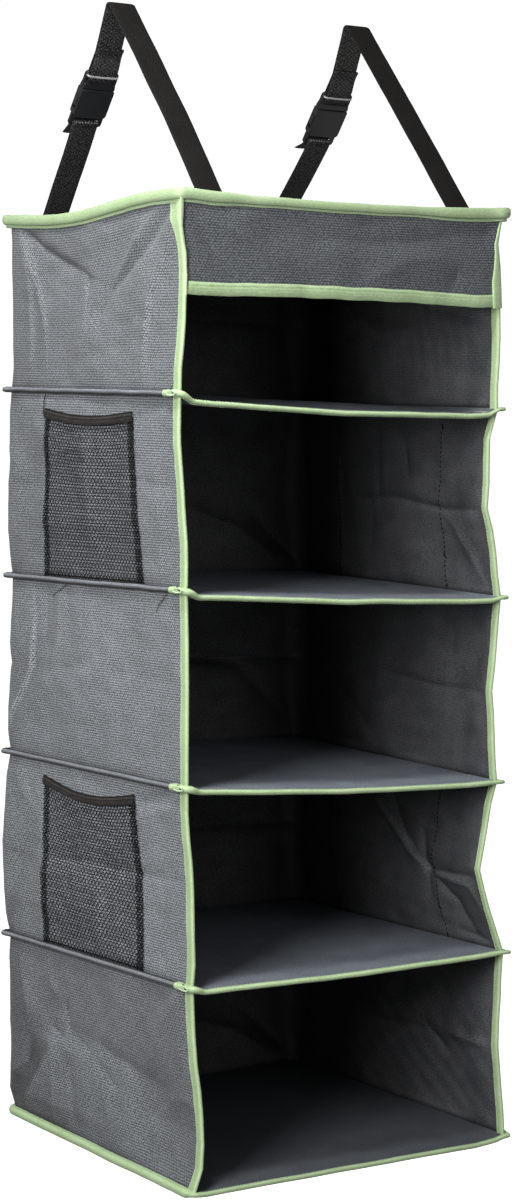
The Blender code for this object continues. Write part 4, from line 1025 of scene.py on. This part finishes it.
# Pockets
def net_strands(map_point, width, height, pitch=(0.0054, 0.0058), thick=0.00038):
    """A knitted net of six-sided holes, each strand a thin four-sided bar, laid out flat and then put in
    its place by map_point(across, up, out)."""
    columns, rows = int(width / pitch[0]), int(height / pitch[1] * 2)
    du, dv = width / columns, height / rows
    nodes, links = {}, []

    def node(u, v):
        key = (round(u / du * 4), round(v / dv * 4))
        if key not in nodes:
            nodes[key] = (len(nodes), u, v)
        return nodes[key][0]

    for r in range(rows + 1):
        shift = 0.5 if r % 2 else 0.0
        for c in range(columns + 1):
            u = (c + shift) * du
            if u > width + 1e-9:
                continue
            low, high = node(u, max(r * dv - dv * 0.22, 0)), node(u, min(r * dv + dv * 0.22, height))
            if low != high:
                links.append((low, high))
            if r < rows:
                for step in (-0.5, 0.5):
                    nu = u + step * du
                    if -1e-9 <= nu <= width + 1e-9:
                        links.append((high, node(nu, max((r + 1) * dv - dv * 0.22, 0))))
    at = np.array([(u, v) for _, u, v in nodes.values()])
    links = np.array(links)
    centre = map_point(at[:, 0], at[:, 1], 0.0)
    normal = unit(map_point(at[:, 0], at[:, 1], 0.001) - centre)
    along = unit(centre[links[:, 1]] - centre[links[:, 0]])
    ring = []
    for end, way in ((0, -along), (1, along)):
        p, n = centre[links[:, end]] + way * thick * 0.4, normal[links[:, end]]
        side = np.cross(along, n)
        ring += [p + side * thick, p + n * thick * 0.4, p - side * thick, p - n * thick * 0.1]
    points = np.stack(ring, 1).reshape(-1, 3)
    faces = np.array([(0, 1, 5, 4), (1, 2, 6, 5), (2, 3, 7, 6), (3, 0, 4, 7), (3, 2, 1, 0), (4, 5, 6, 7)])
    faces = (faces[None] + 8 * np.arange(len(links))[:, None, None]).reshape(-1, 4)
    return points, faces, np.zeros((len(points), 2))


def make_pocket(number, side):
    """A net pocket on a side wall: its net, the net doubled along its sewn edges, and its elastic hem."""
    label = f"pocket_{number}_{WORD[side]}"
    height = HEIGHTS[number - 1]
    drop, sag, front, back = POCKETS[number]

    def place(u, v, out):
        """u across from the front edge, v up from the bottom; the mouth is drawn in by its elastic."""
        share = v / (height - drop)
        start, end = front[0] + front[1] * (1 - share), back[0] + back[1] * (1 - share)
        s = side_run(side, -start + (start + end) * u)
        dip = sag * np.sin(math.pi * np.clip(u, 0, 1)) * share**2
        z = v - dip + 0.0022
        billow = 0.0005 * np.sin(math.pi * np.clip(u, 0, 1)) * np.sin(math.pi * np.clip(share, 0, 1) * 0.85)
        return wall_points(number, s, z / height, 0.0005 + out + billow)

    top = height - drop - HEM_HEIGHT
    mesh = net_strands(lambda u, v, out: place(u / NET_WIDTH, v, out), NET_WIDTH, top + 0.001)
    net = put(f"net_{label}", mesh, (NET,), number, f"{label}_net", sharp=80)
    sewn = ((-0.010, 0.050, 0.0, top), (0.955, 1.008, 0.0, top), (0.0, 1.0, 0.0, 0.0035))
    parts = [net_strands(lambda u, v, out: place(u0 + u / NET_WIDTH, v0 + v, out + 0.0009),
                         (u1 - u0) * NET_WIDTH, v1 - v0, (0.0038, 0.0042), 0.00050)
             for u0, u1, v0, v1 in sewn]
    put(f"net_edges_{label}", joined(parts), (NET,), number, sharp=80)
    u, v = np.linspace(-0.008, 1.008, 90), np.linspace(0, 1, 19)
    ribs = np.cos(v * 6 * math.pi)
    swell = 0.0008 * np.sin(math.pi * v) + 0.0005 * ribs
    uneven = 0.0002 * waves(u * NET_WIDTH * 1000, 0 * u, 9.0, number)
    grid = place(u[:, None], top + v[None] * HEM_HEIGHT, 0.0010 + swell[None] + uneven[:, None])
    hem = cloth_shell(grid, spread(u * NET_WIDTH, v * HEM_HEIGHT), 0.0012, float(-side))
    # Painted light on the hem's ribs, painted shade in the grooves between them and along its top and bottom
    painted_shading = 1.3 * ribs - 1.2 * bell(v, 0.12) - 1.2 * bell(1 - v, 0.1)
    put(f"hem_{label}", hem[:3], (HEM,), number, f"{label}_hem", sharp=70,
        edge=np.broadcast_to(painted_shading, (2, *grid.shape[:2])))


def pocket_seams(number, side):
    """The rows of stitches that hold a pocket, where they come through the wall, with their tied ends."""
    height = HEIGHTS[number - 1] * 1000
    parts = []
    for y in POCKET_SEAMS:
        v = np.linspace(3, height - 14, 80)
        at = y + (0.0016 * waves(v, 0 * v, 60.0, number + 70) - 0.004 * smooth(v, 0, height)) * (y < 0)
        line = wall_points(number, side_run(side, at), v / height, -CLOTH)
        parts.append(stitches(line, (-side, 0, 0), 0.0042, 0.6, 0.00038, 0.0002))
        knot = np.array(((0.0008, 0.0010, 0.0020), (0.0016, 0, 0), (0.0008, -0.0022, -0.0030)))
        for end in (0, 16, -1):
            parts.append(thread(line[end] + knot * (-side, 1, 1), 0.0004))
    put(f"seams_pocket_{number}_{WORD[side]}", joined(parts), (THREAD_BLACK,), number)


def loose_threads():
    """Threads left hanging from the second shelf's piping, and at a pocket's corner."""
    def hung(number, places, out, radius):
        height = HEIGHTS[number - 1] * 1000
        line = [wall_points(number, (SIDE_MM - a) / 1000, 1 - b / height, out) for a, b in places]
        return thread(line, radius)

    parts = [hung(3, ((112, 3), (104, 7), (95, 11), (85, 15)), 0.0012, 0.0003),
             hung(3, ((286, 4), (280, 9), (273, 13), (269, 19)), 0.0012, 0.0003)]
    put("loose_threads", joined(parts), (THREAD_BLACK,), 3)
    end = hung(2, ((82, 3), (81, 9), (82, 14), (81, 20)), 0.0030, 0.0005)
    put("pocket_thread_end", end, (THREAD_BLACK,), 2)


# Straps. Shared with the solids: a strap's distance from the middle, half its width, its rear foot and its
# top as (y, z), its bends' radii over the bar and round the buckle's bars, how far down the rear leg the
# buckle's mouth is, and the buckle's sizes
STRAP_X = 0.122
HALF_WEBBING = 0.0125
FOOT = (0.1510, -0.1700)
APEX = (0.0, 0.0071)
BEND = 0.0046
WRAP = 0.0026
MOUTH = 0.084
SOCKET = 0.038
SOCKET_BAR = 0.0025
PLUG_BASE = 0.006
PLUG_SLOT = 0.0035
BAR_SEAT = 0.0007
# Between these heights the rear leg stays in line with the buckle
BUCKLE_Z = (-0.030, -0.092)
# How each strap hangs off its true place, in millimetres: its front foot and rear foot along x, its top
# as (x, y, z), and how far the loose end stands off
STRAP_LEANS = {-1: (-4, 8, (-4, 3, 1.6), 5), 1: (-3, -3, (-4, 7, 4.5), 9)}
# The way down the rear leg, and the way out of it as far as webbing wraps round a bar, as (y, z)
LEG = unit(np.array(FOOT) - np.array(APEX))
LEG_OUT = np.array((-LEG[1], LEG[0])) * WRAP


def leaning(side, points):
    """Points of a strap moved to how it hangs; what passes through the buckle stays in line with it."""
    front, rear, top, _ = STRAP_LEANS[side]
    points = np.array(points, float)
    y, z = points[..., 1], points[..., 2]
    over, under = BUCKLE_Z
    ahead = y < 0
    up = np.clip(np.where(ahead, (z - FOOT[1]) / (APEX[1] - FOOT[1]), (z - over) / (APEX[1] - over)), 0, 1)
    down = np.where(ahead, 1 - up, np.clip((under - z) / (under - FOOT[1]), 0, 1))
    points[..., 0] += (np.where(ahead, front, rear) * down + top[0] * up) / 1000
    points[..., 1] += top[1] * up / 1000
    points[..., 2] += top[2] * up / 1000
    return points


def buckle_place(distance):
    """A place on the buckle's middle plane, a distance down the rear leg from its top, as (y, z)."""
    return np.array(APEX) + LEG * distance - LEG_OUT


def rounded_line(corners, radii):
    """A line in the (y, z) plane from the first corner to the last, with the others rounded."""
    corners = [np.asarray(c, float) for c in corners]
    points = [corners[0]]
    for i, radius in enumerate(radii, 1):
        a, b, c = corners[i - 1:i + 2]
        back, ahead = (a - b) / np.linalg.norm(a - b), (c - b) / np.linalg.norm(c - b)
        half = math.acos(np.clip(back @ ahead, -1, 1)) / 2
        reach = radius / math.tan(half)
        middle = b + (back + ahead) / np.linalg.norm(back + ahead) * radius / math.sin(half)
        start, end = b + back * reach - middle, b + ahead * reach - middle
        turn = math.pi - 2 * half
        for k in range(11):
            w = k / 10
            v = (start * math.sin((1 - w) * turn) + end * math.sin(w * turn)) / math.sin(turn)
            points.append(middle + v / np.linalg.norm(v) * radius)
    points.append(corners[-1])
    return resampled(points, 0.0012)


def ribbon(name, side, line, looks, replaces, seed, hems=(), tail=0.0):
    """Webbing along a line in the (y, z) plane, 25 mm wide, a little crowned and uneven. Hems are
    (place along it in mm, length in mm, extra thickness) where it is folded on itself, and tail is how
    much of its end shows its other side."""
    along = tangents(line)
    normal = np.stack([-along[:, 1], along[:, 0]], -1)
    across = np.linspace(-1, 1, 13)
    crown = 0.5 * (1 - np.abs(across) ** 8) ** 0.5 + 0.12
    both = np.concatenate([across, across[::-1]])
    rise = np.concatenate([crown, -crown[::-1]]) * 0.0013
    run = run_of(line)
    wander = 0.0004 * waves(run * 1000, 0 * run, 90.0, seed)
    width = HALF_WEBBING * (1 + 0.006 * waves(run * 1000, 0 * run, 20.0, seed + 1))
    deep = np.ones(len(run))
    for place, length, extra in hems:
        place = place if place >= 0 else run[-1] * 1000 + place
        deep = deep + extra * bell(run * 1000 - place, length)
        width = width + 0.0004 * bell(run * 1000 - place, length)
    sideways = side * STRAP_X + wander[:, None] + both[None, :] * width[:, None]
    flat = line[:, None] + normal[:, None] * (rise[None, :] * deep[:, None])[..., None]
    points = leaning(side, np.concatenate([sideways[..., None], flat], -1))
    foot = smooth(-line[:, 1], 0.10, 0.165)
    points += warp(0, np.full(len(line), side * STRAP_X), line[:, 0])[:, None, :] * foot[:, None, None]
    slots = [int(k >= len(across) or run[row] > run[-1] - tail)
             for row in range(len(line) - 1) for k in range(len(both))] + [0, 0]
    put(name, (points, tube_faces(len(line), len(both)), spread(run, both * HALF_WEBBING), slots), looks,
        "top", replaces, sharp=50)


def buckle_frame(side):
    """The buckle's own frame: its mouth, and the ways across, up the strap and towards the viewer."""
    up = np.array((0.0, -LEG[0], -LEG[1]))
    across = np.array((1.0, 0.0, 0.0))
    return np.array((side * STRAP_X, *buckle_place(MOUTH))), across, up, np.cross(across, up)


def buckle_part(label, part, body):
    """A moulded part of the buckle, its own mesh with its rounded faces shaded smooth."""
    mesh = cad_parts[f"{label}_{part}"].data.copy()
    mesh.materials.clear()
    mesh.materials.append(PLASTIC)
    mesh.shade_smooth()
    mesh.set_sharp_from_angle(angle=math.radians(35))
    moulded = bpy.data.objects.new(f"moulded_{label}_{part}", mesh)
    bpy.context.scene.collection.objects.link(moulded)
    tie(moulded, body, f"{label}_{part}")


def buckle_trim(label, side):
    """The bar that holds the tail down, pale as a painted highlight, and the rear webbing turned over the
    socket's bar.
    """
    origin, across, up, out = buckle_frame(side)
    half, long = 0.0112, 0.0070
    u, v = np.linspace(-1, 1, 23)[:, None, None], np.linspace(0, 1, 9)[None, :, None]
    high = 0.0038 + 0.0014 * np.sin(math.pi * v) * (1 - u**8)
    turned = origin + across * half * u + up * (long * v - SOCKET + 0.0005) + out * high
    patch = cloth_shell(turned, spread(u[:, 0, 0] * half, v[0, :, 0] * long), 0.0009, 1.0)
    put(f"webbing_turn_{label}", patch[:3], (WEBBING,), "top", sharp=60)
    put(f"stitching_{label}_turn", stitches(turned[:, 6], out, 0.0026, 0.6, 0.00032), (THREAD_PALE,),
        "top")
    # The bar is pale: a painted highlight
    bar = [(0.0146, 0.0), (0.0142, 0.0030), (0.0125, 0.0043)]
    bar = [(-a, c) for a, c in bar] + [(0, 0.0047)] + bar[::-1]
    line = resampled([origin + across * a + up * 0.0135 + out * c for a, c in bar], 0.0012)
    facing = np.broadcast_to(up, line.shape)
    put(f"moulded_{label}_trim", sweep(line, facing, np.cross(tangents(line), facing), circle(8, 0.0010)),
        (PLASTIC_PAINTED_HIGHLIGHT,), "top", sharp=60)


def make_strap(side):
    """A strap: its long webbing, its rear webbing and the buckle that joins them."""
    label = f"strap_{WORD[side]}"
    out, stand = LEG_OUT, STRAP_LEANS[side][3]
    wrap = WRAP * 0.999
    turn = MOUTH - PLUG_BASE - PLUG_SLOT - BAR_SEAT + WRAP
    line = rounded_line(
        ((-HALF + 0.0008, FOOT[1]), (-FOOT[0], FOOT[1]), APEX, buckle_place(turn) + out,
         buckle_place(turn) - out, buckle_place(turn - 0.0125) - out,
         buckle_place(turn - 0.0240) + out * 0.28, buckle_place(turn - 0.0320) + out * 0.26),
        (0.003, BEND, wrap, wrap, 0.012, 0.012))
    ribbon(f"{label}_webbing", side, line, (WEBBING_SMOOTH, WEBBING), f"{label}_long_webbing", 90 + side,
           hems=((-1.2, 1.4, 0.9),), tail=0.036)
    turn = MOUTH + SOCKET - SOCKET_BAR + BAR_SEAT - WRAP
    line = rounded_line(
        ((HALF - 0.0008, FOOT[1]), FOOT, buckle_place(turn + 0.009) - out, buckle_place(turn) - out,
         buckle_place(turn) + out, buckle_place(turn + 0.007) + out * 1.3,
         buckle_place(turn + 0.018) + out * (1.3 + stand / 2.6)),
        (0.003, 0.009, wrap, wrap, 0.008))
    ribbon(f"{label}_back_webbing", side, line, (WEBBING, WEBBING), f"{label}_rear_webbing", 95 + side)
    for part, body in (("socket", "top"), ("plug", "top"), ("arm_left", f"{label}_arm_left"),
                       ("arm_right", f"{label}_arm_right")):
        buckle_part(label, f"buckle_{part}", body)
    buckle_trim(label, side)


# Stage, light and camera
FLOOR_HALF, FLOOR_Z = 9.0, -1.60
# Each light's name, place, what it points at, power and size
LIGHTS = (
    ("key", (-1.32, -0.78, -0.12), (0.0, 0, -0.45), 26.0, (0.52, 0.85)),
    ("side", (-0.52, -0.40, 0.42), (-0.16, 0, -0.34), 9.0, (0.16, 0.16)),
    ("fill", (0.6, -2.0, 0.1), (0, 0, -0.6), 4.0, (0.8, 0.8)),
    ("back", (1.3, 1.4, 0.2), (0, 0, -0.5), 12.0, (0.8, 0.8)),
)
# The surround's strength as light and as seen by the camera
LIT, SEEN = 0.22, 1.05
# The camera, as the photo's perspective gives it: its place, its heading, and its pitch in degrees
EYE = (-1.21095, -1.93838, -0.38126)
HEADING = (0.5337, 0.8457)
PITCH = 3.04
LENS_MM, SENSOR_MM = 77.86, 36


def make_floor():
    """A sheet of white paper."""
    paper = Look("floor_paper", (0.80, 0.80, 0.79), 0.9, Emission_Color=(1, 1, 1, 1))
    grain = paper.noise(paper.node("TexCoord").outputs["Object"], 60.0, 4.0)
    paper.set("Base Color", paper.mix(grain, (0.78, 0.78, 0.77), (0.83, 0.83, 0.82)))
    paper.bump(grain, 0.05, 0.001)
    paper.set("Emission Strength", paper.node("LightPath").outputs["Is Camera Ray"])
    corners = [(x * FLOOR_HALF, y * FLOOR_HALF, FLOOR_Z) for x, y in ((-1, -1), (1, -1), (1, 1), (-1, 1))]
    piece("floor", (corners, [(0, 1, 2, 3)]), (paper.material,))


def make_world():
    """An even white surround."""
    world = bpy.data.worlds.new("studio")
    world.use_nodes = True
    nodes, links = world.node_tree.nodes, world.node_tree.links
    background, level = nodes["Background"], nodes.new("ShaderNodeMapRange")
    background.inputs["Color"].default_value = (1, 1, 1, 1)
    level.inputs["To Min"].default_value = LIT
    level.inputs["To Max"].default_value = SEEN
    links.new(nodes.new("ShaderNodeLightPath").outputs["Is Camera Ray"], level.inputs["Value"])
    links.new(level.outputs[0], background.inputs["Strength"])
    bpy.context.scene.world = world


def aimed(name, data, place, way):
    """A light or camera at a place, pointing along a way."""
    made = bpy.data.objects.new(name, data)
    made.location = place
    made.rotation_euler = Vector(way).to_track_quat("-Z", "Y").to_euler()
    bpy.context.scene.collection.objects.link(made)
    return made


def make_lights():
    """The four soft lights."""
    for name, place, aim, power, size in LIGHTS:
        light = bpy.data.lights.new(name, "AREA")
        light.energy = power
        light.shape = "RECTANGLE"
        light.size, light.size_y = size
        lamp = aimed(name, light, place, Vector(aim) - Vector(place))
        lamp.visible_camera = False


def make_camera():
    """The photo's camera."""
    scene = bpy.context.scene
    scene.view_settings.view_transform = "Standard"
    scene.view_settings.look = "None"
    camera = bpy.data.cameras.new("camera")
    camera.lens = LENS_MM
    camera.sensor_width = SENSOR_MM
    pitch = math.radians(PITCH)
    way = (HEADING[0] * math.cos(pitch), HEADING[1] * math.cos(pitch), -math.sin(pitch))
    scene.camera = aimed("camera", camera, EYE, way)


def main():
    """The whole organizer, panel by panel and wall by wall, then header, straps and stage."""
    for level in range(len(SEAMS)):
        make_board(level)
        make_panel(level)
        make_edges(level)
        if 0 < level < len(SEAMS) - 1:
            corner_knots(level)
    for number in range(1, len(SEAMS)):
        make_wall(number)
        for side in (-1, 1):
            edge_tape(number, side)
            if number in POCKETS:
                make_pocket(number, side)
                pocket_seams(number, side)
    loose_threads()
    make_header()
    for side in (-1, 1):
        make_strap(side)
    make_floor()
    make_world()
    make_lights()
    make_camera()


main()
